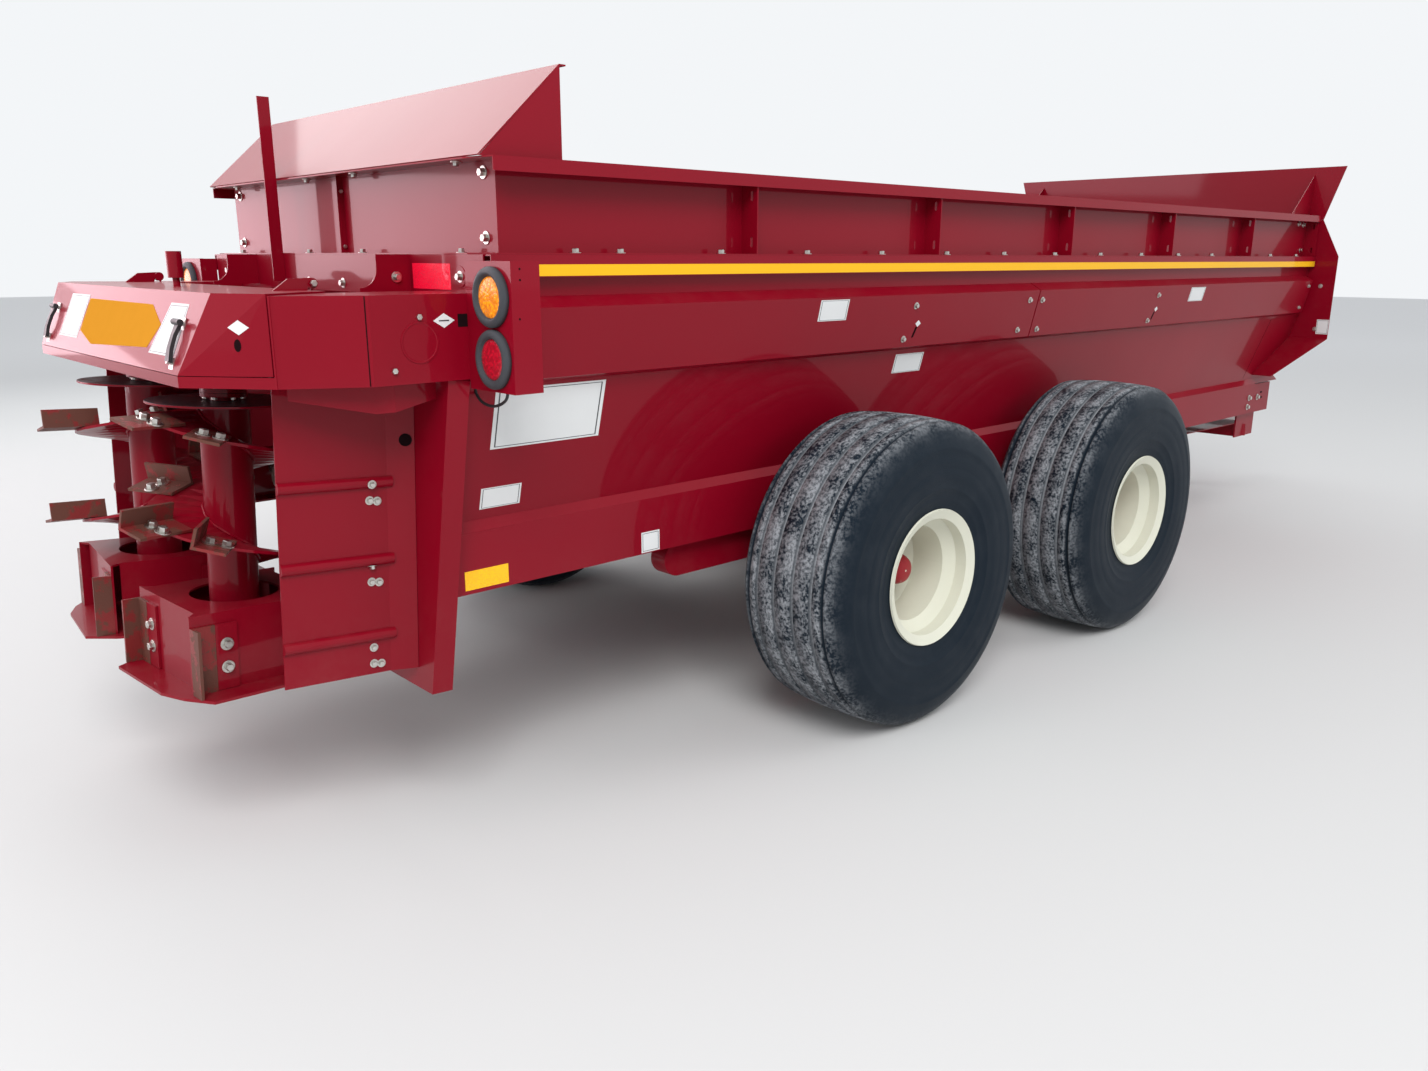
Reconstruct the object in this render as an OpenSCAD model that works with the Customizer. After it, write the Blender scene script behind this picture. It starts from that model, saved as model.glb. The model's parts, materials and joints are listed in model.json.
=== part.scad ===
// Manure spreader: a tandem-wheel trailer with a tub, an apron floor and two upright beaters.
// Plus X points forward to the hitch, plus Y to the left, plus Z up. The ground is at z = 0.

/* [Tub] */
// Length of the tub from its rear sheet to its front wall
box_l = 7315; // [6600:5:8400]
// Width over the top side rails
box_w = 2470; // [2410:5:2600]
// Width of the floor over the foot of the side sheets
floor_w = 2120; // [2100:5:2160]
// Height of the top face of the frame rails above the ground
frame_z = 1095; // [1060:5:1140]
// Height of the tub side from the floor deck to the top of its rail
tub_h = 950; // [930:5:1010]
// Thickness of the side and wall sheets
sheet = 5; // [4:0.5:6]
// Thickness of the floor deck
deck_t = 6; // [5:0.5:8]
// Height of the bolted extension sides
ext_h = 305; // [250:5:380]
// How far the extension sheets stand in from the outer faces of the rail
ext_set = 95; // [80:1:110]
// Number of sheets along one extension side, each with a stiffener fin at its front end
fin_n = 6; // [4:1:8]
// Height of the lip under the top edge of the extension
lip_h = 46; // [34:1:56]

/* [Side stiffener fold] */
// How far the ridge of the fold stands out past the top rail
fold_out = 20; // [10:1:30]
// Height of the ridge above the floor deck
fold_ridge = 777; // [760:1:785]
// Height of the fold face
fold_face = 242; // [220:1:260]

/* [Spill guards] */
// Rise of the rear spill guard above the extension
rear_guard_h = 300; // [240:5:340]
// Rise of the front spill guard above the extension
front_guard_h = 355; // [300:5:400]
// Width that the front wall's flange stands out past the tub at its widest
front_flange = 155; // [120:5:180]

/* [Frame] */
// Height of the side rails of the frame
rail_h = 220; // [200:5:230]
// Thickness of the frame rails
rail_t = 8; // [6:1:10]
// How far the frame stops short of the front wall
rail_short = 130; // [80:5:200]
// Width of one apron slat
slat_w = 50; // [40:5:60]
// Height of one apron slat
slat_h = 24; // [18:1:28]
// Number of slats around the apron loop
slat_n = 46; // [30:1:60]

/* [Wheels] */
// Outer diameter of the tyres
tyre_d = 1380; // [1330:5:1400]
// Section width of the tyres
tyre_w = 570; // [500:5:580]
// Diameter over the rim flanges
rim_d = 612; // [560:2:640]
// Width over the rim flanges
rim_w = 520; // [470:5:520]
// Gap between the tyres and the frame rails beside them
wheel_gap = 93; // [85:1:110]
// Distance between the two axles
axle_gap = 1907; // [1840:1:2000]
// Distance of the rear axle in front of the rear end of the tub
axle_x = 1842; // [1780:1:1900]
// Diameter of the wheel spindles
spindle_d = 70; // [60:1:76]

/* [Beaters] */
// Outer diameter of the beater tubes
tube_d = 168; // [150:1:180]
// Distance between the two beater axes
beater_gap = 840; // [830:2:880]
// Radius that the beater paddles reach
beater_r = 405; // [380:1:410]
// Forward lean of the beaters, in degrees
beater_lean = 3; // [0:0.5:4]
// Distance of the beater foot behind the tub
beater_back = 672; // [660:1:700]
// Height of the foot of the beaters above the ground
beater_z = 585; // [575:1:600]
// Height of the top disc over the beater foot
disc_up = 968; // [950:1:972]
// Radius of the top disc
disc_r = 250; // [220:1:280]
// Height of the expeller at the foot of a beater
expeller_h = 285; // [250:1:300]
// Thickness of the flights and paddles
flight_t = 10; // [8:1:12]
// Outer radius of the spiral flights
flight_r = 270; // [250:2:290]
// Height that the spiral climbs in one turn
flight_lead = 360; // [330:5:390]
// Number of flight sectors along one beater, eight to a turn
flight_n = 14; // [8:1:14]

/* [Gear housing] */
// Height of the underside of the gear housing above the ground
housing_z = 1655; // [1655:1:1670]
// Height of the gear housing
housing_h = 275; // [265:1:285]
// How far the arms of the housing stay inside the tub's rails, on each side
housing_in = 29; // [20:1:45]
// Thickness of the housing plates
plate = 6; // [5:0.5:8]

/* [Hitch and jack] */
// Reach of the hitch clevis in front of the front wall
hitch_reach = 1565; // [1400:5:1800]
// Height of the hitch pin bore above the ground
hitch_z = 480; // [450:5:520]
// Diameter of the hitch pin bore
hitch_bore = 38; // [32:1:52]
// Width of the tongue beam
tongue_w = 150; // [130:5:180]
// Height of the tongue beam
tongue_h = 200; // [180:5:240]
// Outer width of the square jack tube
jack_w = 90; // [80:2:100]
// Diameter of the jack foot
foot_d = 220; // [180:5:260]

/* [Hidden] */
$fn = 48;
// Gap at a shaft or pin in its bore, and gap between pieces that seat on each other
run = 0.1;
fit = 0.3;
// Colours
red = [0.62, 0.05, 0.09];
worn = [0.36, 0.2, 0.16];
cream = [0.86, 0.82, 0.68];
black = [0.09, 0.1, 0.11];
zinc = [0.7, 0.7, 0.68];
// Heights of the tub, from the ground up
deck_z = frame_z + deck_t;
tub_z = deck_z + tub_h;
top_z = tub_z + ext_h;
ridge_z = deck_z + fold_ridge;
fold_low_z = ridge_z - fold_face;
// Half widths of the tub section
rail_half = box_w / 2;
housing_half = rail_half - housing_in;
foot_half = floor_w / 2;
waist_half = foot_half - 30;
mid_half = foot_half + 100;
wall_half = rail_half - 45;
ridge_half = rail_half + fold_out;
fold_low_half = mid_half + 40;
rail_face = 73;
mid_z = fold_low_z - 16;
ledge_z = ridge_z + 36;
ext_half = rail_half - ext_set;
header_x = -30;
rear_set = header_x + ext_set;
lean_tan = tan(beater_lean);
// Running gear
tyre_r = tyre_d / 2;
track_w = floor_w + 2 * wheel_gap + tyre_w;
tyre_in = track_w / 2 - tyre_w / 2;
pivot_x = axle_x + axle_gap / 2;
sub_half = axle_gap / 2 + 946;
beam_w = 95;
beam_h = 170;
beam_in = tyre_in - 45 - beam_w;
// Apron loop
loop_z = frame_z - 77;
loop_r = 84;
chain_t = 22;
loop_x0 = 30;
loop_x1 = box_l - 335;
chain_y = [-800, -270, 270, 800];
slat_half = 950;
// Rear reach of the beaters and front reach of the hitch set the middle of the length
rear_reach = beater_back + beater_r * cos(beater_lean);
front_reach = box_l + hitch_reach;
shift_x = (rear_reach - front_reach) / 2;
ax_mid = -beater_back;

// Unit vector along v
function unit(v) = v / norm(v);
// Normal to the left of the line from a to b
function left_of(a, b) = let (d = unit(b - a)) [-d[1], d[0]];
// Corner i of outline p, moved by t to its left side with a mitre
function mitre(p, i, t) =
    i == 0 ? p[0] + t * left_of(p[0], p[1]) :
    i == len(p) - 1 ? p[i] + t * left_of(p[i - 1], p[i]) :
    let (m = left_of(p[i - 1], p[i]), n = left_of(p[i], p[i + 1]))
    p[i] + t * (m + n) / (1 + m * n);

// Section of a bent sheet that follows outline p, t thick to the left of its run
module bent(p, t) {
    polygon(concat(p, [for (i = [len(p) - 1:-1:0]) mitre(p, i, t)]));
}
// A section in Y and Z drawn out along X
module along_x(x0, x1) {
    translate([x0, 0, 0]) rotate([90, 0, 90]) linear_extrude(x1 - x0) children();
}
// A section in X and Z drawn out along Y
module along_y(y0, y1) {
    translate([0, y1, 0]) rotate([90, 0, 0]) linear_extrude(y1 - y0) children();
}
// A box from corner a to corner b
module block(a, b) {
    translate(a) cube(b - a);
}
// Children as drawn for the left, or mirrored for the right side with s = -1
module on_side(s) {
    mirror([0, s < 0 ? 1 : 0, 0]) children();
}
// Moves what is drawn from the rear end of the tub to the origin in the middle
module placed() {
    translate([shift_x, 0, 0]) children();
}
// A round bar along Y
module bar_y(x, z, r, y0, y1) {
    translate([x, y1, z]) rotate([90, 0, 0]) cylinder(r = r, h = y1 - y0);
}
// A round bar along X
module bar_x(y, z, r, x0, x1) {
    translate([x0, y, z]) rotate([0, 90, 0]) cylinder(r = r, h = x1 - x0);
}

// The rear frame leans forward at its top, like the beaters
lean_x = -100;
module lean_frame() {
    translate([lean_x, 0, housing_z]) rotate([0, beater_lean, 0]) children();
}
// What lies behind the front plane of the rear posts
module behind_posts() {
    lean_frame() block([-400, -2000, -1500], [0, 2000, 200]);
}

// Frame: two side channels that end at the rear posts
rail_x1 = box_l - rail_short;
flange_w = 100;
module frame_rails() {
    color(red) placed() for (s = [-1, 1]) on_side(s) difference() {
        along_x(-200, rail_x1)
            bent([[foot_half - flange_w, frame_z], [foot_half, frame_z],
                [foot_half, frame_z - rail_h], [foot_half - flange_w, frame_z - rail_h]], -rail_t);
        behind_posts();
    }
}

// Cross members inside the apron loop, between the webs of the rails
cross_n = 9;
cross_h = 90;
cross_w = 70;
module cross_members() {
    first = 420;
    step = (loop_x1 - 330 - first) / (cross_n - 1);
    in = foot_half - rail_t;
    color(red) placed() difference() {
        for (i = [0:cross_n - 1]) {
            x = first + i * step;
            along_y(-in, in)
                bent([[x + cross_w, frame_z], [x, frame_z], [x, frame_z - cross_h],
                    [x + cross_w, frame_z - cross_h]], rail_t);
        }
        for (s = [-1, 1]) on_side(s)
            block([0, foot_half - flange_w, frame_z - rail_t], [box_l, foot_half, frame_z + 1]);
    }
}

// Floor deck over rails and cross members
module floor_deck() {
    color(red) placed() block([loop_x0 + 96, -foot_half, frame_z], [loop_x1 - 96, foot_half, deck_z]);
}

// One side of the tub: a foot on the deck, the leaning sheet and its formed top rail
side_outline = [[foot_half - 40, deck_z], [foot_half, deck_z], [waist_half, deck_z + 33],
    [mid_half, mid_z], [wall_half, ledge_z], [wall_half, tub_z - rail_face],
    [rail_half, tub_z - rail_face], [rail_half, tub_z], [ext_half, tub_z]];
module tub_side(s) {
    rear = header_x + plate;
    foot_x = lean_x - (housing_z - deck_z) * lean_tan;
    color(red) placed() on_side(s) intersection() {
        along_x(-200, box_l) bent(side_outline, sheet);
        along_y(0, rail_half) polygon([[box_l, deck_z], [foot_x, deck_z], [lean_x, housing_z],
            [rear, housing_z], [rear, tub_z], [box_l, tub_z]]);
    }
}

// Hat-shaped stiffener fold on the outside of a tub side, in two lengths
fold_split = 3300;
module side_fold(s) {
    color(red) placed() on_side(s) for (x = [[0, fold_split], [fold_split, box_l - 60]])
        along_x(x[0] + 10, x[1])
            polygon([[wall_half + fit, ledge_z], [ridge_half, ridge_z],
                [fold_low_half, fold_low_z], [mid_half + fit, mid_z]]);
}

// Front wall: an upright sheet with side flanges and a lower part that slopes back
slope_z = 1440;
slope_back = 470;
module front_wall() {
    w1 = rail_half + 15;
    w2 = rail_half + front_flange;
    w3 = waist_half + front_flange;
    z0 = top_z - 30;
    z1 = tub_z + 5;
    low_z = deck_z + slat_h + chain_t + 25;
    rise = slope_z - low_z;
    len = norm([rise, slope_back]);
    color(red) placed() {
        along_x(box_l, box_l + sheet)
            polygon([[-w1, z0], [-w2, z1], [-w2, slope_z], [w2, slope_z], [w2, z1], [w1, z0]]);
        difference() {
            translate([box_l, 0, slope_z]) rotate([0, atan2(slope_back, rise), 0])
                along_x(0, sheet) polygon([[-w2, 2], [-w3, -len], [w3, -len], [w2, 2]]);
            for (s = [-1, 1]) on_side(s) along_x(box_l - slope_back - 100, box_l)
                polygon([[foot_half - 45, deck_z - 1], [foot_half + 1, deck_z - 1],
                    [waist_half + 1, deck_z + 33], [mid_half + 1, mid_z], [mid_half - sheet - 1, mid_z],
                    [waist_half - sheet - 6, deck_z + 30], [foot_half - 45, deck_z + 9]]);
        }
    }
}

// Extension sides: inset sheets with a foot, a lipped top edge and slotted stiffener fins
module slot(l, w) {
    square([w, l - w], center = true);
    for (s = [-1, 1]) translate([0, s * (l - w) / 2]) circle(d = w);
}
module extension(s) {
    low = tub_z + fit;
    y = ext_half - sheet;
    color(red) placed() on_side(s) {
        along_x(rear_set + sheet, box_l)
            bent([[rail_half - 4, low], [y, low], [y, top_z], [rail_half, top_z],
                [rail_half, top_z - lip_h]], -sheet);
        for (i = [1:fin_n]) {
            x = i * box_l / fin_n - 20;
            difference() {
                translate([0, 0, low + 1]) linear_extrude(ext_h - 2)
                    bent([[x + 15, ext_half - 1], [x, ext_half - 1], [x, rail_half - sheet - 2]], -sheet);
                for (z = [low + 50, top_z - 80])
                    along_x(x - 1, x + sheet + 1) translate([ext_half + 0.6 * ext_set, z]) slot(40, 12);
            }
        }
    }
}

// Rear panel of the extension, inset like the sides, with a flange at its top and foot
rear_fin_y = -12;
rear_fin_d = 27;
module rear_panel() {
    low = tub_z + fit;
    flange = [[rear_set + sheet, rail_half], [0, rail_half], [header_x, rail_half - 135]];
    color(red) placed() {
        block([rear_set, -ext_half, low], [rear_set + sheet, ext_half, top_z]);
        for (z = [low, top_z - sheet]) translate([0, 0, z]) linear_extrude(sheet)
            polygon(both(flange));
        for (s = [-1, 1]) on_side(s)
            block([0, rail_half - sheet, top_z - lip_h], [rear_set + sheet, rail_half, top_z]);
        block([rear_set - rear_fin_d, rear_fin_y - sheet, low], [rear_set + 1, rear_fin_y, top_z]);
    }
}

// Rear spill guard: a sheet that slopes forward over the tub, with side gussets
module rear_spill_guard() {
    g = rear_guard_h;
    color(red) placed() {
        along_y(-wall_half, wall_half)
            bent([[header_x + sheet, top_z + fit], [g, top_z + g], [g + 25, top_z + g]], sheet);
        for (s = [-1, 1]) on_side(s) along_y(wall_half - sheet, wall_half)
            polygon([[header_x + 8, top_z + fit], [g, top_z + g], [g, top_z + fit]]);
    }
}

// Front spill guard
guard_back = 370;
module front_spill_guard() {
    color(red) placed() {
        along_x(box_l, box_l + sheet)
            polygon([[-rail_half - 15, top_z - 30 + fit], [-rail_half - 130, top_z + front_guard_h],
                [rail_half + 130, top_z + front_guard_h], [rail_half + 15, top_z - 30 + fit]]);
        for (s = [-1, 1]) on_side(s) along_y(ext_half + 5, ext_half + 5 + sheet)
            polygon([[box_l - guard_back, top_z + fit], [box_l + 1, top_z + fit],
                [box_l + 1, top_z + 0.85 * front_guard_h]]);
    }
}

// Rear posts: channels that lean in going down, open to the front
post_out = 1195;
post_foot = 1060;
post_in = 950;
post_d = 80;
// The beaters' foot as seen from the lean frame: how far back and how far down it lies
foot_back = (beater_back + lean_x) * cos(beater_lean) - (housing_z - beater_z) * sin(beater_lean);
foot_down = (beater_back + lean_x) * sin(beater_lean) + (housing_z - beater_z) * cos(beater_lean);
post_h = foot_down + 22;
module rear_posts() {
    top = -post_d * sin(beater_lean) - 1;
    color(red) placed() for (s = [-1, 1]) on_side(s) lean_frame() {
        along_x(-post_d, -post_d + plate)
            polygon([[post_out, top], [post_in, top], [post_in, -post_h], [post_foot, -post_h]]);
        along_x(-post_d, 0) bent([[post_out, top], [post_foot, -post_h]], -plate);
        along_x(-post_d, 0) bent([[post_in, -post_h], [post_in, top]], -plate);
        along_x(-post_d, 0) bent([[post_foot, -post_h], [post_in, -post_h]], -plate);
    }
}

// Rear header plate between tub and housing, with a window and a top flange
module rear_header() {
    color(red) placed() {
        difference() {
            along_x(header_x, header_x + plate) polygon([[-post_out, housing_z],
                [post_out, housing_z], [post_out, tub_z], [-post_out, tub_z]]);
            along_x(header_x - 1, header_x + plate + 1) hull()
                for (y = [-window_y, window_y], z = [120, 195])
                    translate([y, housing_z + z]) circle(r = 60, $fn = 32);
        }
        block([header_x + plate, -ext_half + 1, tub_z - plate], [rear_set, ext_half - 1, tub_z]);
        for (s = [-1, 1]) on_side(s) along_y(gusset_y, gusset_y + plate) difference() {
            translate([header_x - gusset_l, gusset_z])
                square([gusset_l, tub_z - gusset_z]);
            translate([header_x - gusset_l, gusset_z + gusset_up]) circle(r = gusset_r);
            translate([header_x - gusset_l - 1, gusset_z + gusset_up])
                square([gusset_r + 1, tub_z - gusset_z]);
        }
    }
}
// Gussets between the header and the arms of the housing, with a hollow rear edge
gusset_y = 700;
gusset_l = 195;
gusset_r = 66;
gusset_up = 79;
gusset_z = housing_z + housing_h - plate;
window_y = 560;

// Gear housing: a tray with two covered arms, open between them under its hood
arm_in = housing_half - 306;
hinge_x = -427;
hood_x = -786;
hood_lip = 35;
house_x = header_x - fit;
arm_x = -440;
corner = [-690, housing_half - 136];
lip = [-890, housing_half - 376];
skew = corner + 0.53 * (lip - corner);
hood_y = housing_half - 319;
tray = [[house_x, housing_half], [arm_x, housing_half], corner, lip];
gear_x = ax_mid + (housing_z - beater_z) * lean_tan;
function both(p) = concat(p, [for (i = [len(p) - 1:-1:0]) [p[i][0], -p[i][1]]]);
module gear_housing() {
    wall = [[house_x, housing_half], [arm_x, housing_half], corner];
    color(red) placed() translate([0, 0, housing_z]) {
        difference() {
            linear_extrude(plate) polygon(both(tray));
            for (s = [-1, 1]) translate([gear_x, s * beater_gap / 2, -1])
                cylinder(r = 125, h = plate + 2);
        }
        for (s = [-1, 1]) on_side(s) {
            linear_extrude(housing_h) bent(wall, plate);
            translate([0, 0, housing_h - plate]) linear_extrude(plate)
                polygon(concat(wall, [[hinge_x, arm_in], [house_x, arm_in]]));
            linear_extrude(housing_h) bent([corner, [hinge_x, arm_in], [house_x, arm_in]], plate);
        }
        linear_extrude(hood_lip - fit) bent(both([corner, lip]), plate);
        translate([hinge_x, -arm_in, 0]) cube([plate, 2 * arm_in, housing_h - 12]);
        for (s = [-1, 1]) on_side(s) {
            translate([hinge_x, ear_y, housing_h - 30]) cube([plate, 10, 30 + pin_up]);
            translate([hinge_x, ear_y + 10, housing_h + pin_up]) rotate([90, 0, 0])
                cylinder(r = 18, h = 10);
            translate([hinge_x, ear_y + 30, housing_h + pin_up]) rotate([90, 0, 0])
                cylinder(d = pin_d, h = 30);
        }
    }
}
// Hood over the gearboxes, hinged at its front edge on two ears
pin_d = 16;
pin_up = 28;
ear_y = 763;
hood_gap = 6;
module hood_shape(t) {
    back = [hinge_x - hood_gap, arm_in - hood_gap];
    hull() {
        translate([0, 0, -housing_h + hood_lip]) linear_extrude(1)
            offset(delta = -t) polygon(both([back, corner - [0, 10], skew, lip]));
        translate([0, 0, plate - 1 - t]) linear_extrude(1)
            offset(delta = -t) polygon(both([back, corner - [0, 10], [hood_x, hood_y]]));
    }
}
module gear_cover() {
    color(red) placed() translate([0, 0, housing_z + housing_h]) {
        difference() {
            hood_shape(0);
            hood_shape(plate);
            translate([lip[0] - 100, -housing_half, -housing_h])
                cube([-lip[0], 2 * housing_half, hood_lip + 2]);
            translate([hinge_x - 30, -housing_half, -housing_h])
                cube([40, 2 * housing_half, housing_h]);
        }
        for (s = [-1, 1]) on_side(s) translate([hinge_x, ear_y + 24, pin_up]) rotate([90, 0, 0])
            difference() {
                union() {
                    cylinder(r = 18, h = 10);
                    linear_extrude(10) polygon([[-135, 4 - pin_up], [-80, 15], [0, 18],
                        [0, -10], [-14, -10], [-20, 4 - pin_up]]);
                }
                translate([0, 0, -1]) cylinder(r = pin_d / 2 + run, h = 12);
            }
        // Socket tube on a short peg
        translate([socket_x, 0, plate - 2]) {
            cylinder(d = 26, h = 36);
            difference() {
                translate([0, 0, 32]) cylinder(d = 54, h = 95);
                translate([0, 0, 40]) cylinder(d = 44, h = 95);
            }
        }
    }
}
socket_x = -600;
module gearboxes() {
    color(zinc) placed() for (s = [-1, 1]) difference() {
        union() {
            translate([gear_x, s * beater_gap / 2, housing_z + plate]) cylinder(r = 170, h = 12);
            beater_frame(s) translate([0, 0, coupling_up + 12]) cylinder(r = 110, h = 215);
        }
        beater_frame(s) translate([0, 0, coupling_up]) cylinder(d = shaft_d + 2 * run, h = 101);
    }
}

// Shields beside the beaters, bolted to the posts, with half-round ribs and a skirt above
shield_h = 1000;
shield_z = 75 - post_h;
shield_plan = [[-540, 905], [-171, 930], [-post_d - fit, post_in + 10]];
rib_z = [-365, -635, -905];
rib_r = 20;
skirt_plan = [[-641, 1030], [-347, 1150], [-190, 1130]];
skirt_z = housing_z - 95;
module rib_section() {
    intersection() {
        circle(r = rib_r);
        translate([0, -rib_r]) square([rib_r, 2 * rib_r]);
    }
}
// A plate of thickness t on the line from p to q, drawn as an outline in length and height
module on_line(p, q, t) {
    translate([p[0], p[1], 0]) rotate([90, 0, atan2(q[1] - p[1], q[0] - p[0])])
        linear_extrude(t) children();
}
module beater_shields() {
    a = shield_plan[0];
    b = shield_plan[1];
    l0 = norm(skirt_plan[1] - skirt_plan[0]);
    l1 = norm(skirt_plan[2] - skirt_plan[1]);
    top = housing_z - fit;
    color(red) placed() for (s = [-1, 1]) on_side(s) {
        lean_frame() {
            translate([0, 0, shield_z]) linear_extrude(shield_h) bent(shield_plan, sheet);
            for (z = rib_z) translate([a[0], a[1] + sheet - 0.2, z])
                rotate([90, 0, 90 + atan2(b[1] - a[1], b[0] - a[0])])
                    linear_extrude(norm(b - a) + 15) rib_section();
        }
        on_line(skirt_plan[0], skirt_plan[1], sheet)
            polygon([[0, top], [l0, top], [l0, skirt_z + 3], [l0 - 60, skirt_z], [0, top - 42]]);
        on_line(skirt_plan[1], skirt_plan[2], sheet)
            polygon([[-1, top], [l1, top], [l1, top - 62], [-1, skirt_z + 3]]);
    }
}

// A beater's own frame: its axis is Z, its foot at the origin
shaft_d = 64;
pin_foot = 60;
coupling_up = disc_up + 80;
module beater_frame(s) {
    translate([ax_mid, s * beater_gap / 2, beater_z]) rotate([0, beater_lean, 0]) children();
}
// Spiral flight: first angle of each beater's spiral and the turns of its paddles, in degrees
flight_z0 = 300;
flight_step = 15;
flight_a0 = [-85, 60];
paddle_a = [[30, 120, 160, 240, 390, 480, 520], [75, 180, 315, 380, 435, 540, 615]];
function flight_z(i, a) = flight_z0 + flight_lead * (a - flight_a0[i]) / 360;
// Under and top points of the flight's section at angle a: at its root, middle and rim
function flight_ring(i, a) = [for (r = [tube_d / 2 - 8, flight_r - 70, flight_r], z = [0, flight_t])
    [r * cos(a), r * sin(a), flight_z(i, a) + z]];
module flight(i) {
    n = flight_n * 45 / flight_step;
    points = [for (k = [0:n]) each flight_ring(i, flight_a0[i] + k * flight_step)];
    skin = [for (k = [0:n - 1], e = [[0, 1], [1, 3], [3, 5], [5, 4], [4, 2], [2, 0]])
        let (a = 6 * k + e[0], b = 6 * k + e[1]) each [[a, b + 6, b], [a, a + 6, b + 6]]];
    first = [[0, 1, 3], [0, 3, 2], [2, 3, 5], [2, 5, 4]];
    last = [for (f = first) [for (v = f) 6 * n + v]];
    polyhedron(points, concat(skin, first, [for (f = last) [f[0], f[2], f[1]]]));
}
// Outline p turned four times round the axis
function turned(p, a) = [p[0] * cos(a) - p[1] * sin(a), p[0] * sin(a) + p[1] * cos(a)];
function swirl(p) = [for (k = [0:3], q = p) turned(q, 90 * k)];
// Expeller: floor corners, and the two ends of one of its four swirled walls
floor_edge = [[350, 205], [256, 274], [156, 317]] * (beater_r - 2) / 406;
wall_ends = [[210, 212], [-240, 250]];
coupling_r = 77;
module beater(i) {
    color(red) placed() beater_frame(2 * i - 1) on_side(2 * i - 1) {
        difference() {
            union() {
                cylinder(d = tube_d, h = disc_up);
                flight(i);
                linear_extrude(flight_t) polygon(swirl(floor_edge));
                translate([0, 0, expeller_h - 8]) linear_extrude(8) difference() {
                    polygon(swirl(wall_ends));
                    circle(r = 150);
                }
                for (k = [0:3]) rotate([0, 0, 90 * k]) linear_extrude(expeller_h) bent(wall_ends, 8);
                translate([0, 0, disc_up]) cylinder(r = disc_r, h = 6);
                translate([0, 0, disc_up + 5]) cylinder(r = 45, h = 18);
                for (z = [20, 35]) translate([0, 0, disc_up + z]) cylinder(r = coupling_r, h = 14);
                translate([0, 0, disc_up + 6]) cylinder(d = shaft_d, h = 170);
            }
            translate([0, 0, -1]) cylinder(d = pin_foot + 2 * run, h = 61);
        }
    }
}
// Wear paddles: upright angles on the expeller's walls and radial angles on the flight
leg_w = 110;
leg_up = 70;
paddle_up = 2.1;
module beater_paddles(i) {
    slope = atan(flight_lead / (2 * PI * (flight_r - 35)));
    p = wall_ends[0];
    q = wall_ends[1];
    d = unit(q - p);
    n = [d[1], -d[0]];
    seat = q + n * fit;
    color(worn) placed() beater_frame(2 * i - 1) on_side(2 * i - 1) {
        for (k = [0:3]) rotate([0, 0, 90 * k]) translate([0, 0, flight_t + fit])
            linear_extrude(expeller_h - 50) bent([seat - 80 * d, seat, seat + 64 * n], -flight_t);
        for (a = paddle_a[i]) rotate([0, 0, a]) translate([200, 0, flight_z(i, a) + flight_t + paddle_up])
            rotate([slope, 0, 0]) rotate([90, 0, 90]) linear_extrude(beater_r - 212)
                if (flight_z(i, a) + leg_up + 40 > disc_up)
                    translate([-leg_w / 2, 0]) square([leg_w, flight_t]);
                else
                    bent([[-leg_w / 2, 0], [leg_w / 2, 0], [leg_w / 2, leg_up]], flight_t);
    }
}

// Pan beam between the posts, with an arm and a foot pin under each beater
arm_h = 50;
module beater_pan() {
    z = -post_h;
    color(red) placed() {
        lean_frame() block([-post_d, -post_in + fit, z], [0, post_in - fit, z + 90]);
        for (s = [-1, 1]) on_side(s) beater_frame(1) {
            translate([0, -40, -arm_h - 6]) cube([foot_back - post_d + 5, 80, arm_h]);
            translate([0, 0, -arm_h - 6]) cylinder(r = 65, h = arm_h);
            translate([0, 0, -arm_h]) cylinder(d = pin_foot, h = arm_h + 55);
        }
    }
}

// Lamp brackets and lamps at the rear corners
lamp_x = -105;
lamp_y0 = housing_half + 50;
lamp_h = 405;
lamp_w = 214;
lamp_r = 94;
module lamp_brackets() {
    color(red) placed() for (s = [-1, 1]) on_side(s) translate([0, 0, tub_z - lamp_h - 20])
        linear_extrude(lamp_h) bent([[header_x, housing_half + fit], [lamp_x, housing_half + fit],
            [lamp_x, lamp_y0 + lamp_w], [0, lamp_y0 + lamp_w]], -4);
}
lamp_z = [tub_z - 130, tub_z - 322];
// Outer lines of a lamp: a raised rubber ring round a sunk lens
lamp_edge = [[0, 0], [lamp_r, 0], [lamp_r, 12], [lamp_r - 6, 20], [lamp_r - 18, 23],
    [lamp_r - 27, 20], [lamp_r - 29, 11], [30, 15], [0, 16]];
module lamp(z) {
    for (s = [-1, 1]) on_side(s) translate([lamp_x - fit, lamp_y0 + lamp_w / 2, z])
        rotate([0, -90, 0]) rotate_extrude() polygon(lamp_edge);
}
module amber_lamps() {
    color("orange") placed() lamp(lamp_z[0]);
}
module red_lamps() {
    color("red") placed() lamp(lamp_z[1]);
}

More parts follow.
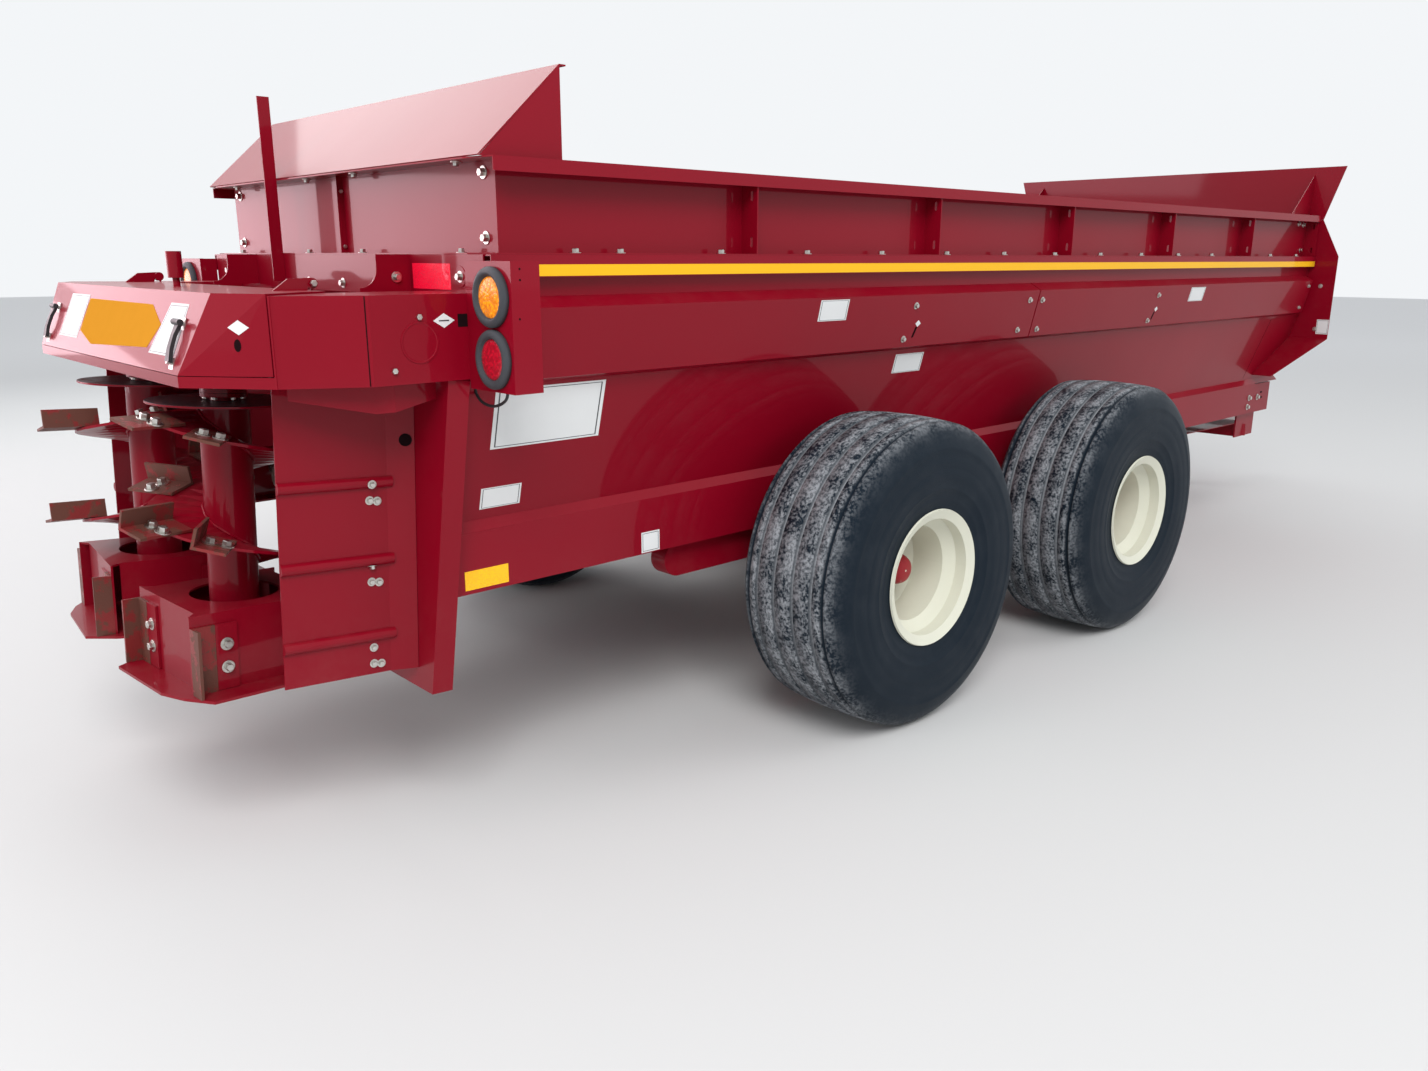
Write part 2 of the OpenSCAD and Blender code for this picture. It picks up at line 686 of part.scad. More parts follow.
// Tandem undercarriage: a slide frame under the rails with a pivot shaft
sub_z = frame_z - rail_h;
sub_h = 150;
sub_out = beam_in - 10;
pivot_d = 90;
pivot_foot = 260;
module tandem_subframe() {
    r = sub_h / 2;
    color(red) placed() {
        for (s = [-1, 1]) on_side(s) {
            along_y(sub_out - 90, sub_out) {
                translate([pivot_x - sub_half + r, sub_z - sub_h]) square([2 * (sub_half - r), sub_h]);
                for (x = [r - sub_half, sub_half - r]) translate([pivot_x + x, sub_z - r]) circle(r = r);
                translate([pivot_x, 0]) polygon([[-pivot_foot, sub_z - sub_h + 1],
                    [pivot_foot, sub_z - sub_h + 1], [90, tyre_r - 90], [-90, tyre_r - 90]]);
            }
        }
        bar_y(pivot_x, tyre_r, pivot_d / 2, -beam_in - beam_w - 5, beam_in + beam_w + 5);
    }
}
// Walking beams with the wheel spindles at their ends
hub_y = track_w / 2 - 60;
module walking_beams() {
    color(red) placed() for (s = [-1, 1]) on_side(s) difference() {
        union() {
            block([axle_x, beam_in, tyre_r - beam_h / 2],
                [axle_x + axle_gap, beam_in + beam_w, tyre_r + beam_h / 2]);
            for (x = [axle_x, axle_x + axle_gap]) {
                bar_y(x, tyre_r, beam_h / 2, beam_in, beam_in + beam_w);
                bar_y(x, tyre_r, spindle_d / 2, beam_in + 10, hub_y + 60);
            }
        }
        bar_y(pivot_x, tyre_r, pivot_d / 2 + run, beam_in - 1, beam_in + beam_w + 1);
    }
}

// Wheels: a rim, a disc and a hub, about their own axis
rim_r = rim_d / 2;
seat_r = rim_r - 36;
drop_r = seat_r - 45;
module wheel_axis(s, i) {
    translate([axle_x + i * axle_gap, 0, tyre_r]) on_side(s) rotate([-90, 0, 0]) children();
}
module wheel(s, i) {
    m = track_w / 2;
    r = rim_r;
    w = rim_w / 2;
    color(cream) placed() wheel_axis(s, i) difference() {
        union() {
            rotate_extrude($fn = 64) translate([0, m]) bent([[r, -w], [seat_r, -w + 16],
                [seat_r, -w + 70], [drop_r, -w + 110], [drop_r, w - 110], [seat_r, w - 70],
                [seat_r, w - 16], [r, w]], 9);
            rotate_extrude($fn = 64) polygon([[0, hub_y - 6], [150, hub_y - 6], [drop_r, hub_y + 44],
                [drop_r, hub_y + 56], [142, hub_y + 8], [90, hub_y + 8], [78, hub_y + 80],
                [66, hub_y + 84], [64, hub_y + 140], [52, hub_y + 160], [28, hub_y + 169],
                [0, hub_y + 172]]);
            translate([0, 0, hub_y - 120]) cylinder(r = 85, h = 118);
        }
        translate([0, 0, hub_y - 121]) cylinder(d = spindle_d + 2 * run, h = 191);
    }
}
module tyre(s, i) {
    m = track_w / 2;
    h = tyre_w / 2;
    w = rim_w / 2;
    color(black) placed() wheel_axis(s, i) rotate_extrude($fn = 72) translate([0, m])
        polygon([[seat_r + fit, -w + 17], [rim_r, -w + 1], [rim_r + 60, -h + 14], [rim_r + 170, -h],
            [tyre_r - 90, -h + 8], [tyre_r - 22, -h + 55], [tyre_r, -h + 120],
            [tyre_r, h - 120], [tyre_r - 22, h - 55], [tyre_r - 90, h - 8],
            [rim_r + 170, h], [rim_r + 60, h - 14], [rim_r, w - 1], [seat_r + fit, w - 17]]);
}

// Apron: four chain bands around the floor with slats across them
module loop_outline(r) {
    translate([loop_x0 + 60, loop_z]) circle(r = r);
    translate([loop_x1 - 60, loop_z]) circle(r = r);
    translate([loop_x0 + 60, loop_z - r]) square([loop_x1 - loop_x0 - 120, 2 * r]);
}
module apron_chains() {
    color(zinc) placed() {
        for (y = chain_y) along_y(y - 20, y + 20) difference() {
            loop_outline(loop_r + chain_t);
            loop_outline(loop_r);
        }
        half = floor(slat_n / 2);
        step = (loop_x1 - loop_x0 - 160) / (half - 1);
        for (i = [0:half - 1], top = [0, 1]) {
            z = top ? loop_z + loop_r + chain_t - 4 : loop_z - loop_r - chain_t + 4 - slat_h;
            block([loop_x0 + 80 + i * step - slat_w / 2, -slat_half, z],
                [loop_x0 + 80 + i * step + slat_w / 2, slat_half, z + slat_h]);
        }
    }
}
module apron_shafts() {
    color(zinc) placed() for (x = [loop_x0 + 60, loop_x1 - 60]) {
        bar_y(x, loop_z, 30, -foot_half + rail_t, foot_half - rail_t);
        for (y = chain_y) bar_y(x, loop_z, loop_r - fit, y - 18, y + 18);
    }
}
pan_l = 2400;
pan_x = box_l - pan_l;
module return_pan() {
    z = frame_z - rail_h;
    color(red) placed() along_y(-hanger_y + fit, hanger_y - fit)
        bent([[pan_x, z - 60], [pan_x + pan_l - 380, z - 82], [pan_x + pan_l - 300, z - 60],
            [pan_x + pan_l - 240, z - 10]], 4);
}

// Tongue: hanger plates under the rails, a cross tube, a sloping beam and two braces
cross_x = box_l - 535;
cross_z = sub_z - 185;
hanger_y = foot_half - 55;
module tongue() {
    x1 = front_reach - 180;
    z1 = hitch_z + 90;
    color(red) placed() {
        for (s = [-1, 1]) on_side(s) {
            block([cross_x - 60, hanger_y, cross_z], [cross_x + 270, hanger_y + 12, sub_z]);
            translate([cross_x + 60, hanger_y, cross_z + 47])
                rotate([0, 0, -atan2(hanger_y - 60, box_l + 500 - cross_x - 60)]) translate([0, -45, -45])
                rotate([0, 7, 0]) cube([1450, 90, 90]);
        }
        block([cross_x, -hanger_y, cross_z], [cross_x + 120, hanger_y, cross_z + 95]);
        along_y(-tongue_w / 2, tongue_w / 2)
            polygon([[cross_x - 300, cross_z + 95], [cross_x - 300, cross_z + 95 - tongue_h * 0.7],
                [box_l, cross_z + 95 - tongue_h], [x1, z1 - 130], [x1, z1 - 10],
                [box_l + 200, cross_z + 95]]);
    }
}
module hitch_clevis() {
    x1 = front_reach - 180;
    color(red) placed() difference() {
        union() {
            block([x1 + fit, -60, hitch_z - 45], [x1 + 40, 60, hitch_z + 75]);
            for (z = [hitch_z - 45, hitch_z + 25]) {
                block([x1 + 30, -50, z], [front_reach - 50, 50, z + 25]);
                translate([front_reach - 50, 0, z]) cylinder(r = 50, h = 25);
            }
        }
        translate([front_reach - 50, 0, hitch_z - 50]) cylinder(d = hitch_bore, h = 200);
    }
}
jack_x = box_l + 780;
jack_y = tongue_w / 2 + 12 + jack_w / 2;
jack_t = 6;
module jack_tube() {
    color(red) placed() translate([jack_x, jack_y, 300]) difference() {
        union() {
            translate([-jack_w / 2, -jack_w / 2, 0]) cube([jack_w, jack_w, 700]);
            translate([-60, -jack_w / 2 - 12 + fit, 190]) cube([120, 14, 130]);
        }
        translate([-jack_w / 2 + jack_t, -jack_w / 2 + jack_t, -1])
            cube([jack_w - 2 * jack_t, jack_w - 2 * jack_t, 695]);
    }
}
module jack_leg() {
    w = jack_w - 2 * jack_t - 2 * fit;
    color(zinc) placed() translate([jack_x, jack_y, 0]) {
        cylinder(d = foot_d, h = 14);
        translate([-w / 2, -w / 2, 10]) cube([w, w, 560]);
    }
}
// Gearbox case at the front of the tub
case_l = 270;
case_w = 300;
case_h = 260;
pto_z = cross_z + 95 + case_h / 2 + fit;
module pto_shaft() {
    color(black) placed() bar_x(0, pto_z, 45, box_l + case_l, front_reach - 300);
}
module front_gearbox() {
    color(red) placed() block([box_l + sheet + fit, -case_w / 2, pto_z - case_h / 2],
        [box_l + case_l, case_w / 2, pto_z + case_h / 2]);
}
side_y = housing_half + 104;
side_z = mid_z - 75;
side_r = 24;
hang_x = [for (i = [0:4]) 500 + i * (box_l - 815) / 4];
function wall_y(z) = waist_half + (mid_half - waist_half) * (z - deck_z - 33) / (mid_z - deck_z - 33);
module side_driveline() {
    z0 = side_z - 75;
    z1 = mid_z - 8;
    color(red) placed() {
        bar_x(side_y, side_z, side_r, case_x1 - 2, box_l - fit);
        for (x = hang_x) along_x(x, x + 10)
            polygon([[wall_y(z0) + fit, z0], [side_y, side_z - 32], [side_y + 32, side_z],
                [side_y, side_z + 32], [wall_y(z1) + fit, z1]]);
        along_x(box_l - fit - 14, box_l - fit) translate([side_y, side_z]) circle(r = 65);
        block([case_x0, housing_half + fit, side_z - 75], [case_x1, side_y + 70, case_z]);
    }
}
case_x0 = -330;
case_x1 = -145;
case_z = housing_z + housing_h - 30;
module level_bar() {
    color(red) placed() translate([header_x - fit, 400, housing_z + housing_h + 10])
        linear_extrude(740) bent([[-50, 0], [0, 0], [0, 50]], 5);
}

frame_rails();
cross_members();
floor_deck();
tub_side(-1);  // tub_side_right
tub_side(1);  // tub_side_left
side_fold(-1);  // side_fold_right
side_fold(1);  // side_fold_left
front_wall();
extension(-1);  // extension_right
extension(1);  // extension_left
rear_panel();
rear_spill_guard();
front_spill_guard();
rear_posts();
rear_header();
gear_housing();
gear_cover();
gearboxes();
beater_shields();
beater(0);  // beater_right
beater(1);  // beater_left
beater_paddles(0);  // beater_paddles_right
beater_paddles(1);  // beater_paddles_left
beater_pan();
lamp_brackets();
amber_lamps();
red_lamps();
tandem_subframe();
walking_beams();
wheel(-1, 0);  // wheel_right_rear
wheel(-1, 1);  // wheel_right_front
wheel(1, 0);  // wheel_left_rear
wheel(1, 1);  // wheel_left_front
tyre(-1, 0);  // tyre_right_rear
tyre(-1, 1);  // tyre_right_front
tyre(1, 0);  // tyre_left_rear
tyre(1, 1);  // tyre_left_front
apron_chains();
apron_shafts();
return_pan();
tongue();
hitch_clevis();
jack_tube();
jack_leg();
pto_shaft();
front_gearbox();
side_driveline();
level_bar();
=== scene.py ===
# Looks of a tandem axle manure spreader with upright beaters.
# Everything is in metres: X forward to the hitch, Y to the left side, Z up.
import json
import math

import bmesh
import bpy
from mathutils import Matrix, Vector
from mathutils.bvhtree import BVHTree


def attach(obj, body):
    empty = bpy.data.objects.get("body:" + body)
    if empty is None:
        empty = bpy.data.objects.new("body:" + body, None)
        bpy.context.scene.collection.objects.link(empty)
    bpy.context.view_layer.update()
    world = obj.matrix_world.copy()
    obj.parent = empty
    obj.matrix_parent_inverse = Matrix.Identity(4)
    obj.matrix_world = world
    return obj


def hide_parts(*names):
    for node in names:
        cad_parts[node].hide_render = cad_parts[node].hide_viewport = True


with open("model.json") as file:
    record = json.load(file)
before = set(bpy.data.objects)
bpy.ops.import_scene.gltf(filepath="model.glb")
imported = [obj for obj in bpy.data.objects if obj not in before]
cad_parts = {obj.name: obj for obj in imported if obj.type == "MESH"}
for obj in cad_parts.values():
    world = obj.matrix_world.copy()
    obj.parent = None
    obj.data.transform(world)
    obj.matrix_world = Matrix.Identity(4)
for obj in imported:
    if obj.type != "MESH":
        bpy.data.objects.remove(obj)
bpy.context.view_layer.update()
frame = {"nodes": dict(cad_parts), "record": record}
scene = bpy.context.scene
SIDES = (("right", -1), ("left", 1))

# Sizes repeated from the part's source; BOX_REAR is the tub's rear end
BOX_REAR = -3.9018
BOX_L = 7.315
DECK_Z = 1.101
RAIL_Y = 1.235
EXT_Y = 1.140
ARM_Y = 1.206
FRAME_Y = 1.060
HUB_Y = 1.378
HEADER_X = -0.030
AXLE_X = (1.842, 3.749)
TRACK = 2.876
TYRE_R = 0.690
TYRE_W = 0.570
RIM_R = 0.306
RIM_W = 0.520
BEATER_X = -0.672
BEATER_Y = 0.420
BEATER_Z = 0.585
BEATER_LEAN = math.radians(3)


def at(x, y, z):
    """A point whose x is measured forward from the tub's rear end."""
    return Vector((x + BOX_REAR, y, z))


# Camera, first of all
CAMERA_PLACE = at(-1.967, -4.355, 2.046)
CAMERA_YAW = math.radians(46.80)
CAMERA_PITCH = math.radians(14.41)
CAMERA_ROLL = math.radians(0.13)
PHOTO_WIDTH = 1428
FOCAL_PIXELS = 1085.86
SENSOR_WIDTH = 36

eye = bpy.data.cameras.new("camera")
eye.sensor_width = SENSOR_WIDTH
eye.lens = SENSOR_WIDTH * FOCAL_PIXELS / PHOTO_WIDTH
camera = bpy.data.objects.new("camera", eye)
camera.matrix_world = (
    Matrix.Translation(CAMERA_PLACE)
    @ Matrix.Rotation(CAMERA_YAW - math.pi / 2, 4, "Z")
    @ Matrix.Rotation(math.pi / 2 - CAMERA_PITCH, 4, "X")
    @ Matrix.Rotation(CAMERA_ROLL, 4, "Z")
)
scene.collection.objects.link(camera)
scene.camera = camera


# Node helpers
def feed(tree, socket, value):
    """Sets a socket to a value, or links it to another socket."""
    if isinstance(value, bpy.types.NodeSocket):
        tree.links.new(value, socket)
    else:
        socket.default_value = value


def node(tree, kind, inputs=(), **settings):
    """A new shader node of the kind, with its settings and its inputs by name or number."""
    made = tree.nodes.new("ShaderNode" + kind)
    for name, value in settings.items():
        setattr(made, name, value)
    for name, value in dict(inputs).items():
        feed(tree, made.inputs[name], value)
    return made


def math_node(tree, operation, a, b=0.0, clamp=False):
    return node(tree, "Math", {0: a, 1: b}, operation=operation, use_clamp=clamp).outputs[0]


def times(tree, a, b, clamp=False):
    return math_node(tree, "MULTIPLY", a, b, clamp)


def blend_colours(tree, mask, under, over):
    """The colour over where the mask is one, and under where it is zero."""
    made = node(tree, "Mix", {0: mask, 6: under, 7: over}, data_type="RGBA")
    return made.outputs[2]


def ramp(tree, value, low, high, start=0.0, end=1.0):
    """A smooth change from start to end while the value goes from low to high."""
    made = node(tree, "MapRange", {0: value, 1: low, 2: high, 3: start, 4: end},
                interpolation_type="SMOOTHSTEP")
    return made.outputs[0]


def noise(tree, size, detail=3.0, rough=0.55):
    """Noise whose features are about size metres across."""
    place = node(tree, "TexCoord").outputs["Object"]
    scale = 1 / size if isinstance(size, (int, float)) else math_node(tree, "DIVIDE", 1.0, size)
    made = node(tree, "TexNoise", {"Vector": place, "Scale": scale,
                                   "Detail": detail, "Roughness": rough})
    return made.outputs["Fac"]


def effect(name, inputs, outputs):
    """An empty node group with named sockets, and its two ends."""
    tree = bpy.data.node_groups.new(name, "ShaderNodeTree")
    kinds = {float: "NodeSocketFloat", tuple: "NodeSocketColor"}
    for label, default in inputs.items():
        made = tree.interface.new_socket(label, in_out="INPUT", socket_type=kinds[type(default)])
        made.default_value = default
    for label, kind in outputs.items():
        tree.interface.new_socket(label, in_out="OUTPUT", socket_type=kinds[kind])
    return tree, tree.nodes.new("NodeGroupInput").outputs, tree.nodes.new("NodeGroupOutput").inputs


def placed_effect(tree, group, **inputs):
    """A shared effect placed in a material with its own values."""
    made = tree.nodes.new("ShaderNodeGroup")
    made.node_tree = group
    for label, value in inputs.items():
        feed(tree, made.inputs[label.replace("_", " ").capitalize()], value)
    return made.outputs


# Shared effects
def build_road_dust():
    """Dust that gathers low on the machine and on faces that look up."""
    tree, given, out = effect(
        "road dust",
        {"Paint": (0.5, 0.0, 0.0, 1), "Dust": (0.4, 0.36, 0.3, 1), "Amount": 0.5,
         "Reach": 1.2, "Grain": 0.08},
        {"Colour": tuple, "Mask": float})
    place = node(tree, "TexCoord").outputs["Object"]
    height = node(tree, "SeparateXYZ", {0: place}).outputs["Z"]
    low = math_node(tree, "SUBTRACT", 1.0, math_node(tree, "DIVIDE", height, given["Reach"]), True)
    facing = node(tree, "SeparateXYZ", {0: node(tree, "NewGeometry").outputs["Normal"]})
    up = times(tree, ramp(tree, facing.outputs["Z"], 0.5, 1.0), 0.35)
    wide = noise(tree, 0.45, 4.0)
    fine = noise(tree, given["Grain"], 6.0, 0.7)
    patches = times(tree, ramp(tree, wide, 0.3, 0.75), ramp(tree, fine, 0.3, 0.7))
    spread = times(tree, math_node(tree, "ADD", low, up), patches)
    mask = times(tree, spread, given["Amount"], True)
    feed(tree, out["Colour"], blend_colours(tree, mask, given["Paint"], given["Dust"]))
    feed(tree, out["Mask"], mask)
    return tree


def build_sheet_wave():
    """The slight waves of painted sheet steel, which bend what it mirrors."""
    tree, given, out = effect("sheet wave", {"Size": 0.6, "Depth": 0.004}, {"Height": float})
    wide = noise(tree, given["Size"], 1.0, 0.4)
    ripple = times(tree, noise(tree, 0.004, 2.0), 0.004)
    height = times(tree, math_node(tree, "ADD", wide, ripple), given["Depth"])
    feed(tree, out["Height"], height)
    return tree


def build_worn_spots():
    """Patches where a finish has given way to what lies under it."""
    tree, given, out = effect(
        "worn spots",
        {"Finish": (0.5, 0.0, 0.0, 1), "Under": (0.3, 0.28, 0.26, 1), "Size": 0.05,
         "Amount": 0.4},
        {"Colour": tuple, "Mask": float})
    spots = noise(tree, given["Size"], 8.0, 0.68)
    edge = math_node(tree, "SUBTRACT", 0.72, times(tree, given["Amount"], 0.4))
    mask = ramp(tree, math_node(tree, "SUBTRACT", spots, edge), -0.02, 0.03)
    feed(tree, out["Colour"], blend_colours(tree, mask, given["Finish"], given["Under"]))
    feed(tree, out["Mask"], mask)
    return tree


def build_surface_grain():
    """Fine unevenness of rubber, castings and rolled steel."""
    tree, given, out = effect("surface grain", {"Size": 0.003, "Depth": 0.0004}, {"Height": float})
    feed(tree, out["Height"], times(tree, noise(tree, given["Size"], 4.0, 0.6), given["Depth"]))
    return tree


road_dust = build_road_dust()
sheet_wave = build_sheet_wave()
worn_spots = build_worn_spots()
surface_grain = build_surface_grain()


# Finishes
def dress(tree, shader, **values):
    """Feeds a shader's inputs, whose names are written with _ for a space."""
    for label, value in values.items():
        feed(tree, shader.inputs[label.replace("_", " ")], value)


def finish(name, colour, roughness, **values):
    """A material with a Principled shader; returns it with its tree and shader."""
    material = bpy.data.materials.new(name)
    material.use_nodes = True
    tree = material.node_tree
    shader = tree.nodes["Principled BSDF"]
    dress(tree, shader, Base_Color=(*colour, 1), Roughness=roughness, **values)
    return material, tree, shader


def bent_normal(tree, height):
    """The normal of a surface with this height."""
    return node(tree, "Bump", {"Height": height, "Strength": 1.0, "Distance": 1.0}).outputs[0]


def relief(tree, group, size, depth):
    """The normal of a surface with a shared effect's height."""
    return bent_normal(tree, placed_effect(tree, group, size=size, depth=depth)["Height"])


RED = (0.245, 0.0014, 0.0120)
DUST = (0.33, 0.25, 0.21, 1)


def gloss_paint(name, colour, dust_amount=0.16, dust_reach=1.0, shade=0.06, coat=0.3):
    """Glossy sprayed paint with a slight drift in depth and road dust low down."""
    material, tree, shader = finish(name, colour, 0.4, Coat_Weight=coat, Coat_Roughness=0.05,
                                    Specular_IOR_Level=0.08)
    deeper = tuple(c * (1 - shade * 3) for c in colour) + (1,)
    drift = blend_colours(tree, noise(tree, 0.9, 2.0), deeper, (*colour, 1))
    dusty = placed_effect(tree, road_dust, paint=drift, dust=DUST, amount=dust_amount,
                          reach=dust_reach)
    dress(tree, shader, Base_Color=dusty["Colour"], Normal=relief(tree, sheet_wave, 0.55, 0.004),
          Roughness=ramp(tree, dusty["Mask"], 0.0, 0.6, 0.42, 0.85),
          Coat_Weight=ramp(tree, dusty["Mask"], 0.0, 0.4, coat, 0.05))
    return material


def worn_steel(name, colour, under, spot_size, amount, metal=0.7, rough=(0.6, 0.38)):
    """A finish worn through in spots to what lies under it."""
    material, tree, shader = finish(name, colour, 0.55, Specular_IOR_Level=0.3)
    spots = placed_effect(tree, worn_spots, finish=(*colour, 1), under=(*under, 1),
                          size=spot_size, amount=amount)
    dress(tree, shader, Base_Color=spots["Colour"],
          Normal=relief(tree, surface_grain, 0.006, 0.0008),
          Metallic=ramp(tree, spots["Mask"], 0.0, 1.0, metal * 0.5, metal),
          Roughness=ramp(tree, spots["Mask"], 0.0, 1.0, *rough))
    return material


def zinc_plate(name):
    material, tree, shader = finish(name, (0.62, 0.62, 0.58), 0.35, Metallic=1.0)
    patch = noise(tree, 0.02, 4.0)
    mottled = blend_colours(tree, patch, (0.52, 0.52, 0.49, 1), (0.76, 0.75, 0.70, 1))
    dress(tree, shader, Base_Color=mottled, Roughness=ramp(tree, patch, 0.3, 0.7, 0.28, 0.48))
    return material


def moulded(name, colour, roughness, grain_size=0.002, depth=0.0003, gloss=0.4, paler=1.35):
    """Rubber or plastic with a fine grain and uneven gloss."""
    material, tree, shader = finish(name, colour, roughness, Specular_IOR_Level=gloss)
    patch = noise(tree, 0.05, 4.0)
    faded = tuple(min(1, c * paler + 0.002) for c in colour) + (1,)
    dress(tree, shader, Base_Color=blend_colours(tree, patch, (*colour, 1), faded),
          Roughness=ramp(tree, patch, 0.2, 0.8, roughness * 0.85, min(1, roughness * 1.15)),
          Normal=relief(tree, surface_grain, grain_size, depth))
    return material


def lens(name, colour, glow, cell=0.011, shade=0.6):
    """A clear coloured cover over a honeycomb of small optics; its glow is emission, which on the
    reflectors is a painted glow.
    """
    material, tree, shader = finish(name, colour, 0.25, Coat_Weight=0.2, Coat_Roughness=0.04,
                                    Specular_IOR_Level=0.25)
    place = node(tree, "TexCoord").outputs["Object"]
    cells = node(tree, "TexVoronoi", {"Vector": place, "Scale": 1 / cell}).outputs["Distance"]
    deep = tuple(c * shade for c in colour) + (1,)
    bright = tuple(min(1, c * 1.25) for c in colour) + (1,)
    shown = blend_colours(tree, ramp(tree, cells, 0.1, 0.75), bright, deep)
    dress(tree, shader, Base_Color=shown, Emission_Color=shown, Emission_Strength=glow,
          Roughness=ramp(tree, cells, 0.2, 0.7, 0.15, 0.35),
          Normal=bent_normal(tree, times(tree, cells, -0.0015)))
    return material


def tyre_rubber():
    """Blue-black sidewalls, and a tread mottled with dried dust that lies thick in its grooves."""
    material, tree, shader = finish("tyre rubber", (0.022, 0.028, 0.034), 0.6,
                                    Specular_IOR_Level=0.14)
    marks = node(tree, "SeparateColor", {0: node(tree, "VertexColor",
                                                 layer_name="tread").outputs["Color"]}).outputs
    spots = noise(tree, 0.014, 5.0, 0.66)
    streaks = noise(tree, 0.11, 4.0, 0.6)
    mottle = math_node(tree, "ADD", ramp(tree, spots, 0.36, 0.64, 0.0, 0.8),
                       ramp(tree, streaks, 0.3, 0.7, -0.35, 0.35), True)
    mask = times(tree, marks[0], mottle, True)
    lines = times(tree, marks[1], ramp(tree, spots, 0.25, 0.6, 0.55, 1.0))
    mask = math_node(tree, "MAXIMUM", mask, lines)
    film = ramp(tree, streaks, 0.4, 0.8, 0.0, 0.02)
    mask = math_node(tree, "ADD", mask, film, True)
    dusty = blend_colours(tree, mask, (0.006, 0.012, 0.020, 1), (0.29, 0.305, 0.325, 1))
    dress(tree, shader, Base_Color=dusty, Roughness=ramp(tree, mask, 0.0, 1.0, 0.5, 0.95),
          Normal=relief(tree, surface_grain, 0.004, 0.0008))
    return material


red_paint = gloss_paint("deep red paint", RED)
cream_paint = gloss_paint("cream paint", (0.70, 0.70, 0.585), dust_amount=0.14, dust_reach=1.2,
                          shade=0.02, coat=0.25)
yellow_tape = gloss_paint("yellow stripe", (0.88, 0.47, 0.012), dust_amount=0.1, dust_reach=0.9,
                          shade=0.02, coat=0.2)
paddle_steel = worn_steel("worn paddle steel", (0.13, 0.048, 0.035), under=(0.24, 0.03, 0.03),
                          spot_size=0.09, amount=0.5, metal=0.25)
chain_steel = worn_steel("chain steel", (0.16, 0.12, 0.10), under=(0.34, 0.31, 0.29),
                         spot_size=0.03, amount=0.5)
disc_steel = worn_steel("worn disc", (0.15, 0.045, 0.050), under=(0.075, 0.055, 0.062),
                        spot_size=0.12, amount=0.75, metal=0.4)
hub_paint = worn_steel("dusty hub paint", (0.30, 0.012, 0.018), under=(0.34, 0.14, 0.12),
                       spot_size=0.05, amount=0.3, metal=0.0, rough=(0.45, 0.8))
zinc = zinc_plate("zinc plate")
cast_paint = moulded("dark cast paint", (0.035, 0.035, 0.038), 0.45, grain_size=0.004,
                     depth=0.0006)
black_rubber = moulded("black rubber", (0.02, 0.021, 0.023), 0.5)
grey_rubber = moulded("grey lamp rubber", (0.042, 0.044, 0.050), 0.6, gloss=0.25)
black_plastic = moulded("black plastic", (0.025, 0.025, 0.027), 0.38)
# Near black, for flat marks: painted shade in holes, slots, notches and a joint, and a painted
# reflection line on a side wall
painted_shade_and_reflection = moulded("painted shade and reflection", (0.010, 0.004, 0.005), 0.9, gloss=0.0)
white_plate = moulded("white plate", (0.71, 0.72, 0.72), 0.5, grain_size=0.004, depth=0.00005,
                      gloss=0.06, paler=1.03)
amber_paint = moulded("amber plate paint", (0.60, 0.25, 0.022), 0.6, grain_size=0.004,
                      depth=0.00005, gloss=0.0, paler=1.06)
plate_line = moulded("plate line", (0.05, 0.05, 0.055), 0.4)
amber_lens = lens("amber lens", (0.95, 0.26, 0.012), glow=0.35, shade=0.62)
red_lens = lens("red lens", (0.42, 0.006, 0.02), glow=0.12, shade=0.72)
# The reflectors give no light of their own: their glow is painted light
red_reflector = lens("red reflector", (0.80, 0.006, 0.035), glow=0.35, cell=0.004, shade=0.8)
amber_reflector = lens("amber reflector", (0.93, 0.46, 0.01), glow=0.15, cell=0.004, shade=0.9)
rubber = tyre_rubber()

SLOT_FINISH = {
    "red_paint": red_paint, "cream_paint": cream_paint, "tyre_rubber": rubber,
    "worn_steel": paddle_steel, "bare_steel": chain_steel, "zinc_steel": zinc,
    "cast_paint": cast_paint, "black_plastic": black_plastic, "amber_lens": amber_lens,
    "red_lens": red_lens,
}
for part in frame["record"]["subparts"]:
    shape = frame["nodes"][part["node"]]
    shape.data.materials.clear()
    shape.data.materials.append(SLOT_FINISH[part["material_slot"]])


# Mesh helpers; MARK_T is the thickness of stickers and other flat marks
MARK_T = 0.0008
# Corners of a square, as places in a range or as shares of a half width
CORNERS = ((0, 0), (1, 0), (1, 1), (0, 1))
SQUARE = ((-1, -1), (1, -1), (1, 1), (-1, 1))
LEFT = (0, 1, 0)
BACK = (-1, 0, 0)


def turns(count, start=0.0):
    """Equal steps of angle round a full turn."""
    return [start + 2 * math.pi * i / count for i in range(count)]


def around(radius, turn, up=0.0):
    """A point at a radius and an angle round the Z axis."""
    return Vector((radius * math.cos(turn), radius * math.sin(turn), up))


def new_object(name, shape, material):
    """An object in the scene with the shape's mesh."""
    data = bpy.data.meshes.new(name)
    shape.to_mesh(data)
    shape.free()
    data.materials.append(material)
    made = bpy.data.objects.new(name, data)
    scene.collection.objects.link(made)
    return made


def piece(name, material, body, make, *given, smooth=False):
    """A new object whose mesh make(shape, *given) fills; it rides on the body."""
    shape = bmesh.new()
    make(shape, *given)
    bmesh.ops.recalc_face_normals(shape, faces=shape.faces)
    made = new_object(name, shape, material)
    if smooth:
        made.data.shade_smooth()
    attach(made, body)
    return made


def join_rings(shape, rings, caps=False):
    """Faces between closed rings of equal length, and over both ends where caps is set."""
    for low, high in zip(rings, rings[1:]):
        count = len(low)
        for i in range(count):
            j = (i + 1) % count
            shape.faces.new((low[i], low[j], high[j], high[i]))
    if caps:
        shape.faces.new(rings[0])
        shape.faces.new(rings[-1])


